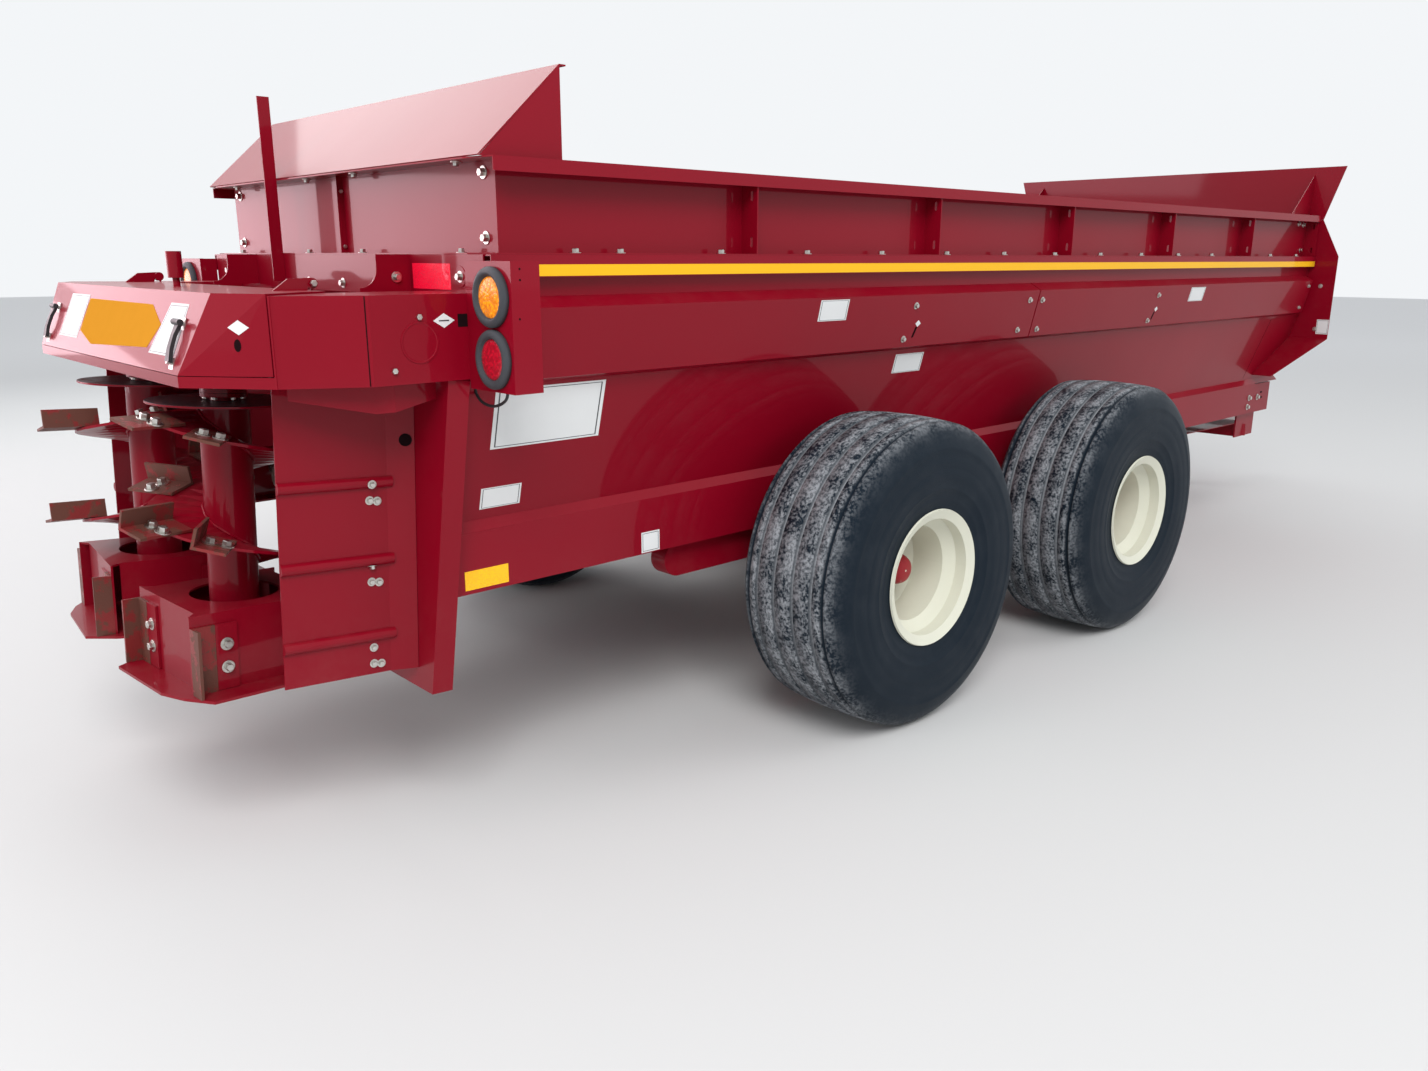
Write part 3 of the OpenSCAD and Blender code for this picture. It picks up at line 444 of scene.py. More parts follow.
def lathe(shape, profile, place, steps=96, caps=False):
    """Turns a profile of (along, radius) pairs round the Z axis of the matrix place."""
    rings = []
    for along, radius in profile:
        rings.append([shape.verts.new(place @ around(radius, turn, along))
                      for turn in turns(steps)])
    join_rings(shape, rings, caps)
    return rings


def facing(place, normal):
    """A matrix at place whose Z axis is normal."""
    return Matrix.Translation(place) @ Vector(normal).to_track_quat("Z", "Y").to_matrix().to_4x4()


# Shares of a bolt's size: the head's height, the washer's thickness and radius, and the
# narrowing of their outer edges
HEAD_UP = 0.6
WASHER_UP = 0.14
WASHER_R = 0.9
EDGE_R = 0.84


def hex_bolt(shape, place, normal, size, washer=True):
    """A hexagon head on a washer; size is the distance across the flats."""
    seat = facing(place, normal)
    lift = 0.0
    if washer:
        lift = size * WASHER_UP
        wide = size * WASHER_R
        lathe(shape, [(0, wide), (lift * 0.8, wide), (lift, size * EDGE_R)], seat, 20, True)
    corner = size / math.sqrt(3)
    head = size * HEAD_UP
    lathe(shape, [(lift, corner), (lift + head * 0.85, corner), (lift + head, corner * EDGE_R)],
          seat, 6, True)


def slab(shape, corners, thick, outward):
    """A flat plate over the corners, thick on the side that outward points to."""
    points = [Vector(c) for c in corners]
    normal = (points[1] - points[0]).cross(points[2] - points[0]).normalized()
    if normal.dot(Vector(outward)) < 0:
        normal.negate()
    rings = [[shape.verts.new(p + normal * up) for p in points] for up in (0, thick)]
    join_rings(shape, rings, True)


def rod(shape, points, radius, sides=10):
    """A round bar along a line of points."""
    points = [Vector(p) for p in points]
    rings = []
    for i, point in enumerate(points):
        run = (points[min(i + 1, len(points) - 1)] - points[max(i - 1, 0)]).normalized()
        place = facing(point, run)
        rings.append([shape.verts.new(place @ around(radius, turn)) for turn in turns(sides)])
    join_rings(shape, rings, True)


def smooth_line(points, steps=8):
    """Points along a smooth curve through the given ones."""
    points = [Vector(p) for p in points]
    padded = [2 * points[0] - points[1], *points, 2 * points[-1] - points[-2]]
    line = []
    for a, b, c, d in zip(padded, padded[1:], padded[2:], padded[3:]):
        for i in range(steps):
            t = i / steps
            line.append(0.5 * (2 * b + (c - a) * t + (2 * a - 5 * b + 4 * c - d) * t ** 2
                               + (3 * b - a - 3 * c + d) * t ** 3))
    return line + [points[-1]]


def skin(name):
    """The faces of a CAD node, to find places on."""
    data = frame["nodes"][name].data
    return BVHTree.FromPolygons([v.co.copy() for v in data.vertices],
                                [list(face.vertices) for face in data.polygons])


def seat_on(surface, place, outward, reach=0.06):
    """Where a line from outside meets the surface near place, and the surface's normal there."""
    outward = Vector(outward).normalized()
    hit, normal, _, _ = surface.ray_cast(place + outward * reach, -outward, 2 * reach)
    if hit is None:
        hit, normal, _, _ = surface.find_nearest(place)
    if normal.dot(outward) < 0:
        normal = -normal
    return hit, normal


def turned_on(shape, surface, place, outward, line, steps):
    """A round form with closed ends, seated on a surface."""
    spot, normal = seat_on(surface, place, outward)
    lathe(shape, line, facing(spot, normal), steps, True)


def on_side(side, point):
    """A point of the left side's tables, taken to the side."""
    x, y, z = point
    return at(x, side * y, z)


def bolts(name, carrier, outward, places, size, washer=True):
    """Bolt heads on both sides of the machine, seated on the faces of the carrier's nodes."""
    for side_name, side in SIDES:
        surface = skin(carrier.format(side_name))
        away = Vector((outward[0], side * outward[1], outward[2]))

        def heads(shape):
            for point in places:
                spot, normal = seat_on(surface, on_side(side, point), away)
                hex_bolt(shape, spot, normal, size, washer)
        piece(f"{name}_{side_name}", zinc, "chassis", heads)


def plate_on(shape, surface, corners, outward, thick=MARK_T, lift=0.0):
    """A thin plate with its corners seated on a surface."""
    spots = [seat_on(surface, c, outward) for c in corners]
    slab(shape, [spot + normal * lift for spot, normal in spots], thick, outward)


def sticker(shape, surface, middle, outward, outline, thick=MARK_T, lift=0.0002):
    """A thin flat mark round middle; its outline is given across and up the surface."""
    spot, normal = seat_on(surface, middle, outward)
    up = (Vector((0, 0, 1)) - normal * normal.z).normalized()
    across = up.cross(normal)
    slab(shape, [spot + across * a + up * b + normal * lift for a, b in outline], thick, normal)


def diamond(across, up):
    return ((-across, 0), (0, -up), (across, 0), (0, up))


def framed_plate(name, body, surface, corners, outward, material, margin=0.0):
    """A blank plate, with a thin line round it where margin is given."""
    piece(name, material, body, plate_on, surface, corners, outward)
    if margin:
        def line(shape):
            middle = sum(corners, Vector()) / len(corners)
            for a, b in zip(corners, corners[1:] + corners[:1]):
                ends = [[p + (middle - p).normalized() * m for p in (a, b)]
                        for m in (margin, margin * 1.35)]
                plate_on(shape, surface, [*ends[0], *reversed(ends[1])], outward, MARK_T / 2,
                         MARK_T)
        piece(name + "_line", plate_line, body, line)


def across_side(side, y, x_range, z_range):
    """Corners of a plate on a side, at |y|, from its ranges of x and z."""
    return [on_side(side, (x_range[i], y, z_range[j])) for i, j in CORNERS]


# Stripes along the top rails
STRIPE_Z = (1.981, 2.019)
STRIPE_X = (0.001, BOX_L - 0.02)
for side_name, side in SIDES:
    piece("stripe_" + side_name, yellow_tape, "chassis", slab,
          across_side(side, RAIL_Y, STRIPE_X, STRIPE_Z), MARK_T, (0, side, 0))


# Tyres
GROOVES = (-0.150, -0.052, 0.052, 0.150)
GROOVE_W = 0.020
GROOVE_D = 0.014
# Section of a groove: share of its half width, share of its depth
GROOVE_LINE = ((-1, 0), (-0.7, 0.75), (-0.4, 1), (0.4, 1), (0.7, 0.75), (1, 0))
SHOULDER_GROOVE = 0.205
CROWN_DROP = 0.011
CROWN_HALF = 0.21
BEAD_R = RIM_R - 0.0355
# Sidewall: inset from the widest point, height over the rim
SIDEWALL = ((0.026, 0.035), (0.022, 0.042), (0.0225, 0.050), (0.012, 0.085), (0.0095, 0.090),
            (0.0105, 0.096), (0.004, 0.130), (0.000, 0.170), (0.0015, 0.176), (0.0005, 0.182),
            (0.002, 0.225))
# Shoulder: inset from the widest point, depth below the tread, share of dust
SHOULDER = ((0.006, 0.130, 0), (0.0045, 0.124, 0), (0.0085, 0.112, 0.05), (0.016, 0.080, 0.15),
            (0.031, 0.047, 0.35), (0.048, 0.027, 0.7), (0.060, 0.018, 0.8))
# Shoulder groove: across from its middle, depth, share of dust
EDGE_LINE = ((-0.012, 0.0, 0.8), (-0.007, 0.012, 0.0), (0.007, 0.012, 0.0), (0.012, 0.0, 1.0))


def crown_radius(across):
    return TYRE_R - CROWN_DROP * (abs(across) / CROWN_HALF) ** 2.2


def tyre_section():
    """The section as (across, radius, dust on tread, dust in groove), from bead to bead."""
    half = TYRE_W / 2
    rim_half = RIM_W / 2
    side = [(-rim_half + 0.017, BEAD_R, 0, 0), (-rim_half + 0.003, RIM_R + 0.004, 0, 0)]
    side += [(-half + inset, RIM_R + up, 0, 0) for inset, up in SIDEWALL]
    side += [(-half + inset, TYRE_R - down, dust, 0) for inset, down, dust in SHOULDER]
    for offset, down, dust in EDGE_LINE:
        across = offset - SHOULDER_GROOVE
        side.append((across, crown_radius(across) - down, dust, 0))
    crown = []
    for middle in GROOVES:
        for share, depth in GROOVE_LINE:
            across = middle + share * GROOVE_W / 2
            crown.append((across, crown_radius(across) - GROOVE_D * depth, 1 - depth, depth))
    return side + crown + [(-a, r, t, g) for a, r, t, g in reversed(side)]


def tyre(shape, middle):
    dust = shape.loops.layers.color.new("tread")
    section = tyre_section()
    rings = lathe(shape, [(a, r) for a, r, _, _ in section], facing(middle, LEFT), 144)
    share = {v: section[i][2:] for i, ring in enumerate(rings) for v in ring}
    for face in shape.faces:
        for corner in face.loops:
            corner[dust] = (*share[corner.vert], 0, 1)


# Hubs, wheel nuts and valves
NUT_N = 10
NUT_R = 0.120
VALVE_R = 0.205
DISC_UP = 0.008
HUB_LINE = ((0.009, 0.0965), (0.024, 0.0935), (0.081, 0.0795), (0.0855, 0.0675), (0.141, 0.0655),
            (0.154, 0.059), (0.162, 0.0535), (0.168, 0.041), (0.1715, 0.0285))
HUB_RINGS = (0.100, 0.132)
NUT_SIZE = 0.030
STUD_L = 0.034
STUD_R = 0.008
# Valve's foot and tip: height over the disc, shift towards the axle
VALVE_LINE = ((0.030, 0.0), (0.085, 0.012))
STEM_R = 0.005
CAP_R = 0.007
CAP_SHARE = 0.35


def wheel_frame(x, side):
    """The wheel's axis, outward, from the hub's mounting face."""
    return facing(at(x, side * HUB_Y, TYRE_R), (0, side, 0))


def hub_cover(shape, place):
    """The hub's cap, with two raised rings."""
    lathe(shape, HUB_LINE, place, 48, True)
    for up in HUB_RINGS:
        lathe(shape, [(up - 0.004, 0.0660), (up, 0.0685), (up + 0.004, 0.0660)], place, 48)


def wheel_nuts(shape, place):
    """Nuts on washers, with the ends of their studs."""
    outward = place.to_3x3() @ Vector((0, 0, 1))
    for turn in turns(NUT_N):
        spot = place @ around(NUT_R, turn, DISC_UP)
        hex_bolt(shape, spot, outward, NUT_SIZE)
        rod(shape, [spot, spot + outward * STUD_L], STUD_R, 8)


def valve_stem(shape, place):
    """A thin stem, and a thicker cap that goes on in its line."""
    foot, tip = [place @ Vector((0, inward - VALVE_R, up)) for up, inward in VALVE_LINE]
    rod(shape, [foot, tip], STEM_R, 8)
    rod(shape, [tip, tip + (tip - foot) * CAP_SHARE], CAP_R, 8)


for side_name, side in SIDES:
    for end, x in zip(("rear", "front"), AXLE_X):
        body = f"wheel_{side_name}_{end}"
        made = piece(f"ribbed_tyre_{side_name}_{end}", rubber, body, tyre,
                     at(x, side * TRACK / 2, TYRE_R), smooth=True)
        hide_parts(f"tyre_{side_name}_{end}")
        place = wheel_frame(x, side)
        piece(f"hub_cover_{side_name}_{end}", hub_paint, body, hub_cover, place, smooth=True)
        piece(f"wheel_nuts_{side_name}_{end}", cream_paint, body, wheel_nuts, place)
        piece(f"valve_{side_name}_{end}", black_rubber, body, valve_stem, place)


# Bolts of the extension sides, the panel behind them and the header
# The foot at 6.021 has no bolt
FOOT_X = [0.345] + [0.543 + 0.498 * i for i in range(14) if i != 11]
bolts("extension_foot_bolts", "extension_{}", (0, 0, 1),
      [(x, 1.188, 2.056) for x in FOOT_X], 0.022)
bolts("extension_sheet_bolts", "extension_{}", LEFT,
      [(3.690, EXT_Y, 2.088), (7.225, EXT_Y, 2.102), (7.13, EXT_Y, 2.297), (7.225, EXT_Y, 2.290)],
      0.022)
bolts("rear_panel_bolts", "rear_panel", BACK,
      [(0.065, 1.07, 2.315), (0.065, 1.07, 2.105)], 0.025)
bolts("rear_foot_bolts", "rear_panel", (0, 0, 1),
      [(0.020, 0.244, 2.056), (0.020, 0.98, 2.056)], 0.020)
bolts("rear_lip_bolts", "rear_panel", (0, 0, -1),
      [(0.020, 0.216, 2.350), (0.020, 0.975, 2.350)], 0.020)
bolts("header_bolts", "rear_header", BACK,
      [(HEADER_X, 0.159, 1.942), (HEADER_X, 1.049, 1.978)], 0.022)
bolts("gusset_bolts", "rear_header", LEFT, [(-0.084, 0.703, 1.973)], 0.022)
bolts("hinge_pin_heads", "gear_housing", LEFT, [(-0.427, 0.790, 1.958)], 0.020, False)

# Bolts through the stiffener fin of the panel behind the beaters
FIN_BOLTS = ((0.054, 2.295), (0.054, 2.082))
FIN_FACE_Y = -0.017


def fin_bolts(shape):
    surface = skin("rear_panel")
    for x, z in FIN_BOLTS:
        spot, normal = seat_on(surface, at(x, FIN_FACE_Y, z), (0, -1, 0), 0.01)
        hex_bolt(shape, spot, normal, 0.014, False)


piece("rear_fin_bolts", zinc, "chassis", fin_bolts)

# Bolts of the side folds, the housing arms, the frame rails and the front flange
FOLD_BOLTS = ((2.239, 1.827), (2.196, 1.674), (3.222, 1.829), (3.345, 1.827), (3.174, 1.675),
              (3.365, 1.672), (4.70, 1.823), (4.651, 1.669), (7.20, 1.837), (7.16, 1.676))
bolts("fold_bolts", "side_fold_{}", LEFT,
      [(x, 1.230, z) for x, z in FOLD_BOLTS], 0.018)
bolts("arm_bolts", "gear_housing", LEFT,
      [(-0.277, ARM_Y, 1.861), (-0.371, ARM_Y, 1.699)], 0.017, False)
bolts("frame_end_bolts", "frame_rails", LEFT,
      [(6.801, FRAME_Y, 0.995), (6.784, FRAME_Y, 0.927), (6.959, FRAME_Y, 0.990)], 0.026)
bolts("flange_bolts", "front_wall", BACK,
      [(BOX_L, 1.292, 1.836), (BOX_L, 1.292, 1.510)], 0.018)

# Bolts of the beater shields, one over and two under each rib
SHIELD_RIBS = ((-0.352, 1.270), (-0.367, 0.985), (-0.382, 0.690))
RIB_BOLTS = ((0, 0.029), (-0.004, -0.029), (0.022, -0.034))
bolts("shield_bolts", "beater_shields", LEFT,
      [(x + dx, 0.950, z + dz) for x, z in SHIELD_RIBS for dx, dz in RIB_BOLTS], 0.017)


# Painted shade in slots, holes, notches and a joint line, and a painted reflection line on the side
# wall, as ranges of x and z or as points
ARM_SLOT = ((-0.140, -0.050), (1.825, 1.866))
ARM_JOINT = ((-0.4515, -0.4485), (1.657, 1.928))
FOLD_Y = 1.225
FOLD_NOTCHES = ((2.256, 1.678), (4.690, 1.673))
NOTCH_LINE = ((0, 0), (0.014, 0.002), (0.030, 0.050), (0.016, 0.050))
RAIL_SLOTS = ((7.009, 1.017), (7.022, 0.976))
RAIL_SLOT_L = 0.035
RAIL_SLOT_H = 0.012
# A dark line where the glossy side wall mirrors the outer edge of the front strip: a painted
# reflection
PAINTED_STRIP_REFLECTION = ((6.790, 1.150, 1.600), (6.794, 1.150, 1.600), (6.702, 1.035, 1.15),
             (6.698, 1.035, 1.15))
SHIELD_HOLE = (-0.222, 0.960, 1.437)
SHIELD_HOLE_LINE = ((0, 0.022), (0.001, 0.022))
ARM_COVER = (-0.278, ARM_Y, 1.782)
ARM_COVER_LINE = ((0, 0.066), (0.0025, 0.065), (0.0025, 0.060), (0.0012, 0.058))
HEADER_RING = (HEADER_X, 1.049, 1.978)
HEADER_RING_LINE = ((0, 0.036), (0.002, 0.035), (0.002, 0.031))


# Flat dark plates: painted shade in the arm's slot and joint, the fold notches and the rail slots,
# and the painted reflection line on the wall
def dark_marks(shape, side_name, side):
    arms = skin("gear_housing")
    rails = skin("frame_rails")
    out = (0, side, 0)
    for x_range, z_range in (ARM_SLOT, ARM_JOINT):
        plate_on(shape, arms, across_side(side, ARM_Y, x_range, z_range), out)
    for x, z in FOLD_NOTCHES:
        corners = [on_side(side, (x + a, FOLD_Y, z + b)) for a, b in NOTCH_LINE]
        plate_on(shape, skin("side_fold_" + side_name), corners, out)
    for x, z in RAIL_SLOTS:
        corners = across_side(side, FRAME_Y, (x, x + RAIL_SLOT_L), (z, z + RAIL_SLOT_H))
        plate_on(shape, rails, corners, out)
    corners = [on_side(side, point) for point in PAINTED_STRIP_REFLECTION]
    plate_on(shape, skin("tub_side_" + side_name), corners, out, 0.0005)


def round_covers(shape, side):
    """The round cover on the housing's arm and the ring by the header's outer bolt."""
    turned_on(shape, skin("gear_housing"), on_side(side, ARM_COVER), (0, side, 0),
              ARM_COVER_LINE, 48)
    turned_on(shape, skin("rear_header"), on_side(side, HEADER_RING), BACK, HEADER_RING_LINE, 36)


for side_name, side in SIDES:
    piece("painted_slot_shade_and_reflection_" + side_name, painted_shade_and_reflection, "chassis", dark_marks, side_name, side)
    # The shield's hole is a flat dark disc of painted shade
    piece("shield_hole_shade_" + side_name, painted_shade_and_reflection, "chassis", turned_on, skin("beater_shields"),
          on_side(side, SHIELD_HOLE), (0, side, 0), SHIELD_HOLE_LINE, 32)
    piece("round_covers_" + side_name, red_paint, "chassis", round_covers, side)


# Blank plates, reflectors and diamonds
SIDE_PLATES = (
    # name, node, |y|, range of x, range of z, width of its margin, finish
    ("big_plate", "tub_side_{}", 1.130, (0.020, 0.490), (1.393, 1.607), 0.016, white_plate),
    ("low_plate", "tub_side_{}", 1.050, (0.000, 0.168), (1.172, 1.250), 0.008, white_plate),
    ("wall_plate", "tub_side_{}", 1.145, (2.220, 2.440), (1.507, 1.598), 0.008, white_plate),
    ("rail_plate", "frame_rails", FRAME_Y, (0.725, 0.820), (0.880, 0.965), 0.008, white_plate),
    ("fold_plate_rear", "side_fold_{}", 1.240, (1.565, 1.750), (1.779, 1.868), 0.008, white_plate),
    ("fold_plate_front", "side_fold_{}", 1.240, (5.140, 5.350), (1.773, 1.861), 0.008, white_plate),
    ("rail_reflector_rear", "frame_rails", FRAME_Y, (-0.084, 0.096), (0.890, 0.960), 0.0,
     amber_reflector),
    ("rail_reflector_front", "frame_rails", FRAME_Y, (5.580, 5.645), (0.884, 0.944), 0.0,
     amber_reflector),
)
# The driveline would hide these on the left side
RIGHT_ONLY = ("big_plate", "wall_plate")
BACK_PLATES = (
    # name, node, x, range of |y|, range of z, width of its margin, finish
    ("header_reflector", "rear_header", HEADER_X, (0.725, 0.985), (1.934, 2.021), 0.0,
     red_reflector),
    ("flange_plate", "front_wall", BOX_L, (1.302, 1.388), (1.473, 1.583), 0.008, white_plate),
)
FOLD_TAGS = ((2.285, 1.743), (4.724, 1.737))
ARM_TAG = (-0.190, ARM_Y, 1.847)
ARROW_LINE = ((-0.018, -0.002), (0.018, -0.002), (0.018, 0.002), (-0.018, 0.002))
for side_name, side in SIDES:
    out = (0, side, 0)
    for name, carrier, y, x_range, z_range, margin, material in SIDE_PLATES:
        if side_name == "right" or name not in RIGHT_ONLY:
            framed_plate(f"{name}_{side_name}", "chassis", skin(carrier.format(side_name)),
                         across_side(side, y, x_range, z_range), out, material, margin)
    for name, carrier, x, y_range, z_range, margin, material in BACK_PLATES:
        corners = [on_side(side, (x, y_range[i], z_range[j])) for i, j in CORNERS]
        framed_plate(f"{name}_{side_name}", "chassis", skin(carrier), corners, BACK, material,
                     margin)

    def tags(shape):
        for x, z in FOLD_TAGS:
            sticker(shape, skin("side_fold_" + side_name), on_side(side, (x, 1.235, z)), out,
                    diamond(0.020, 0.016))
        sticker(shape, skin("gear_housing"), on_side(side, ARM_TAG), out, diamond(0.038, 0.023))
    piece("diamond_tags_" + side_name, white_plate, "chassis", tags)
    piece("diamond_line_" + side_name, plate_line, "chassis", sticker, skin("gear_housing"),
          on_side(side, ARM_TAG), out, ARROW_LINE, 0.0006, 0.0012)


# Plates, latches and marks of the hood, which lift with it
HOOD_OUT = (-1, 0, 0.4)
HOOD_X = -0.890
HOOD_LOW = 1.690
HOOD_SLOPE = 0.104 / 0.230


def hood_point(y, z):
    """A point on the hood's sloped rear panel."""
    return at(HOOD_X + HOOD_SLOPE * (z - HOOD_LOW), y, z)


hood = skin("gear_cover")
HOOD_PLATES = (
    # name, finish, width of its margin, outline as y and z
    ("hood_plate_left", white_plate, 0.010,
     ((0.356, 1.897), (0.605, 1.897), (0.613, 1.740), (0.361, 1.740))),
    ("hood_plate_right", white_plate, 0.010,
     ((-0.575, 1.897), (-0.740, 1.897), (-0.740, 1.740), (-0.503, 1.740))),
    ("hood_plate_amber", amber_paint, 0.0,
     ((0.341, 1.885), (-0.399, 1.886), (-0.539, 1.828), (-0.470, 1.754), (0.158, 1.730),
      (0.346, 1.770))),
)
for name, material, margin, outline in HOOD_PLATES:
    framed_plate(name, "gear_cover", hood, [hood_point(y, z) for y, z in outline],
                 HOOD_OUT, material, margin)


CORNER_TAG = (-0.756, 0.993, 1.838)
CORNER_HOLE = (-0.760, 0.987, 1.785)
HOLE_R = 0.011
HOLE_STRETCH = 1.7


def corner_out(side):
    """Out of the hood's slanted corner."""
    return Vector((-0.75, side * 0.66, 0.1))


# A flat dark oval of painted shade where the hood's corner has a hole
def corner_hole(shape, side):
    spot, normal = seat_on(hood, on_side(side, CORNER_HOLE), corner_out(side))
    place = facing(spot, normal) @ Matrix.Diagonal((1, HOLE_STRETCH, 1, 1))
    lathe(shape, [(0, HOLE_R), (MARK_T, HOLE_R)], place, 24, True)


# Latch strap, from its handle down: y, z, height over the hood, half of its width
LATCH = ((0.742, 1.838, 0.013, 0.019), (0.746, 1.800, 0.018, 0.012),
         (0.750, 1.760, 0.018, 0.014), (0.752, 1.722, 0.012, 0.018))
STRAP_HALF_T = 0.006
HANDLE_HALF = 0.030
HANDLE_R = 0.010
HANDLE_UP = 0.020
# Hooks at the strap's two ends: place in LATCH, half of the plate's width
HOOKS = ((0, 0.020), (-1, 0.018))
HOOK_UP = Vector((0.24, 0, 0.97))
HOOK_T = 0.003
STUD_ENDS = (-0.002, 0.018)
HOOK_STUD_R = 0.006


def hood_seat(side, y, z):
    return seat_on(hood, hood_point(side * y, z), HOOD_OUT)


def latch_strap(shape, side):
    """A moulded rubber strap with a waist, a T handle above and its foot below."""
    across = Vector(LEFT)
    rings = []
    for y, z, up, half in LATCH:
        spot, normal = hood_seat(side, y, z)
        rings.append([shape.verts.new(spot + normal * (up + b * STRAP_HALF_T) + across * a * half)
                      for a, b in SQUARE])
    join_rings(shape, rings, True)
    spot, normal = hood_seat(side, *LATCH[0][:2])
    handle = spot + normal * HANDLE_UP
    rod(shape, [handle - across * HANDLE_HALF, handle + across * HANDLE_HALF], HANDLE_R, 12)


def latch_hooks(shape, side):
    """A stud and a small plate at both ends of the strap."""
    for i, half in HOOKS:
        spot, normal = hood_seat(side, *LATCH[i][:2])
        rod(shape, [spot + normal * up for up in STUD_ENDS], HOOK_STUD_R)
        corners = [spot + Vector((0, a * half, 0)) + HOOK_UP * b * half for a, b in SQUARE]
        slab(shape, corners, HOOK_T, normal)


for side_name, side in SIDES:
    piece("corner_diamond_" + side_name, white_plate, "gear_cover", sticker, hood,
          on_side(side, CORNER_TAG), corner_out(side), diamond(0.034, 0.022))
    piece("corner_hole_" + side_name, painted_shade_and_reflection, "gear_cover", corner_hole, side)
    piece("hood_latch_strap_" + side_name, black_rubber, "gear_cover", latch_strap, side)
    piece("hood_latch_hooks_" + side_name, zinc, "gear_cover", latch_hooks, side)


# Lamps: a moulded ring round a sunk lens
LAMP_X = -0.1053
LAMP_Y = 1.363
LAMP_Z = {"amber": 1.921, "red": 1.729}
RING_LINE = ((0.0, 0.094), (0.011, 0.094), (0.017, 0.091), (0.021, 0.084), (0.023, 0.077),
             (0.0215, 0.071), (0.018, 0.0675), (0.010, 0.066))
LENS_LINE = ((0.008, 0.066), (0.012, 0.062), (0.0145, 0.050), (0.016, 0.032), (0.0165, 0.012))


def both_lamps(shape, line, z):
    for _, side in SIDES:
        lathe(shape, line, facing(at(LAMP_X, side * LAMP_Y, z), BACK), 72, True)


for colour, cover in (("amber", amber_lens), ("red", red_lens)):
    made = piece(colour + "_lamp_rings", grey_rubber, "chassis", both_lamps, RING_LINE,
                 LAMP_Z[colour], smooth=True)
    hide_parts(colour + "_lamps")
    piece(colour + "_lamp_lenses", cover, "chassis", both_lamps, LENS_LINE, LAMP_Z[colour],
          smooth=True)


# Leads that hang in a shallow loop under the lamp brackets, and the brackets' small holes as flat
# dark discs of painted shade
LEAD_ROUTE = ((-0.060, 1.150, 1.640), (-0.060, 1.165, 1.597), (-0.060, 1.210, 1.572),
              (-0.060, 1.280, 1.570), (-0.060, 1.345, 1.598), (-0.060, 1.360, 1.650))
LEAD_R = 0.005
BRACKET_HOLES = ((-0.072, 1.470, 2.008), (-0.072, 1.470, 1.975), (-0.078, 1.470, 1.858))
BRACKET_HOLE_LINE = ((0, 0.0035), (0.0006, 0.0035))


def lamp_bracket_holes(shape, side):
    surface = skin("lamp_brackets")
    for point in BRACKET_HOLES:
        turned_on(shape, surface, on_side(side, point), (0, side, 0), BRACKET_HOLE_LINE, 12)


for side_name, side in SIDES:
    route = smooth_line([on_side(side, point) for point in LEAD_ROUTE])
    piece("lamp_lead_" + side_name, black_rubber, "chassis", rod, route, LEAD_R, smooth=True)
    piece("lamp_bracket_holes_" + side_name, painted_shade_and_reflection, "chassis", lamp_bracket_holes, side)


# Beaters: each has its own leaning frame, mirrored for the right one
TUBE_R = 0.084
FLIGHT_Z0 = 0.300
FLIGHT_LEAD = 0.360
FLIGHT_N = 14
FLIGHT_T = 0.010
FLIGHT_A0 = {"right": -85, "left": 60}
PADDLE_A = {"right": (30, 120, 160, 240, 390, 480, 520),
            "left": (75, 180, 315, 380, 435, 540, 615)}
PADDLE_UP = 0.0021
PADDLE_BOLT_R = 0.300
PADDLE_BOLT_Y = (-0.038, 0.014)
PADDLE_MEAN_R = 0.235
PADDLE_SLOPE = math.atan(FLIGHT_LEAD / (2 * math.pi * PADDLE_MEAN_R))
DISC_TOP = 0.974
DISC_R = 0.250
DISC_T = 0.006
FLANGE_LOW = 0.988
COUPLING_BOLTS = 6
COUPLING_START = math.radians(20)
COUPLING_BOLT_R = 0.060
COUPLING_LINE = ((0, 0.0095), (0.009, 0.0095))
LEG_X = (-0.155, -0.081)
LEG_Z = (0.012, 0.245)
LEG_BOLT_X = -0.118
LEG_BOLT_Z = (0.090, 0.172)
LEG_T = 0.009
LEG_GAP = 0.0005
WELD_R = 0.0055
WELD_OFF = 0.003
WELD_STEP = 9
WELD_WAVE = 0.0012
WALL_END = (Vector((0.210, 0.212, 0)), Vector((-0.240, 0.250, 0)))


def beater_frame(side):
    return (Matrix.Translation(at(BEATER_X, side * BEATER_Y, BEATER_Z))
            @ Matrix.Rotation(BEATER_LEAN, 4, "Y") @ Matrix.Diagonal((1, side, 1, 1)))


def flight_height(side_name, degrees):
    return FLIGHT_Z0 + FLIGHT_LEAD * (degrees - FLIGHT_A0[side_name]) / 360


def paddle_bolts(shape, side_name, side):
    """Two heads across the leg of each paddle."""
    for degrees in PADDLE_A[side_name]:
        up = flight_height(side_name, degrees) + FLIGHT_T + PADDLE_UP
        place = (beater_frame(side) @ Matrix.Rotation(math.radians(degrees), 4, "Z")
                 @ Matrix.Translation((PADDLE_BOLT_R, 0, up))
                 @ Matrix.Rotation(PADDLE_SLOPE, 4, "X"))
        normal = place.to_3x3() @ Vector((0, 0, 1))
        for across in PADDLE_BOLT_Y:
            hex_bolt(shape, place @ Vector((0, across, FLIGHT_T)), normal, 0.028)


def wall_frame(side, quarter):
    """The end of an expeller wall: X along the wall, Y out of it, Z up."""
    start, end = WALL_END
    run = (end - start).normalized()
    out = Vector((run.y, -run.x, 0))
    axes = Matrix((run, out, (0, 0, 1))).transposed().to_4x4()
    return (beater_frame(side) @ Matrix.Rotation(math.pi / 2 * quarter, 4, "Z")
            @ Matrix.Translation(end) @ axes)


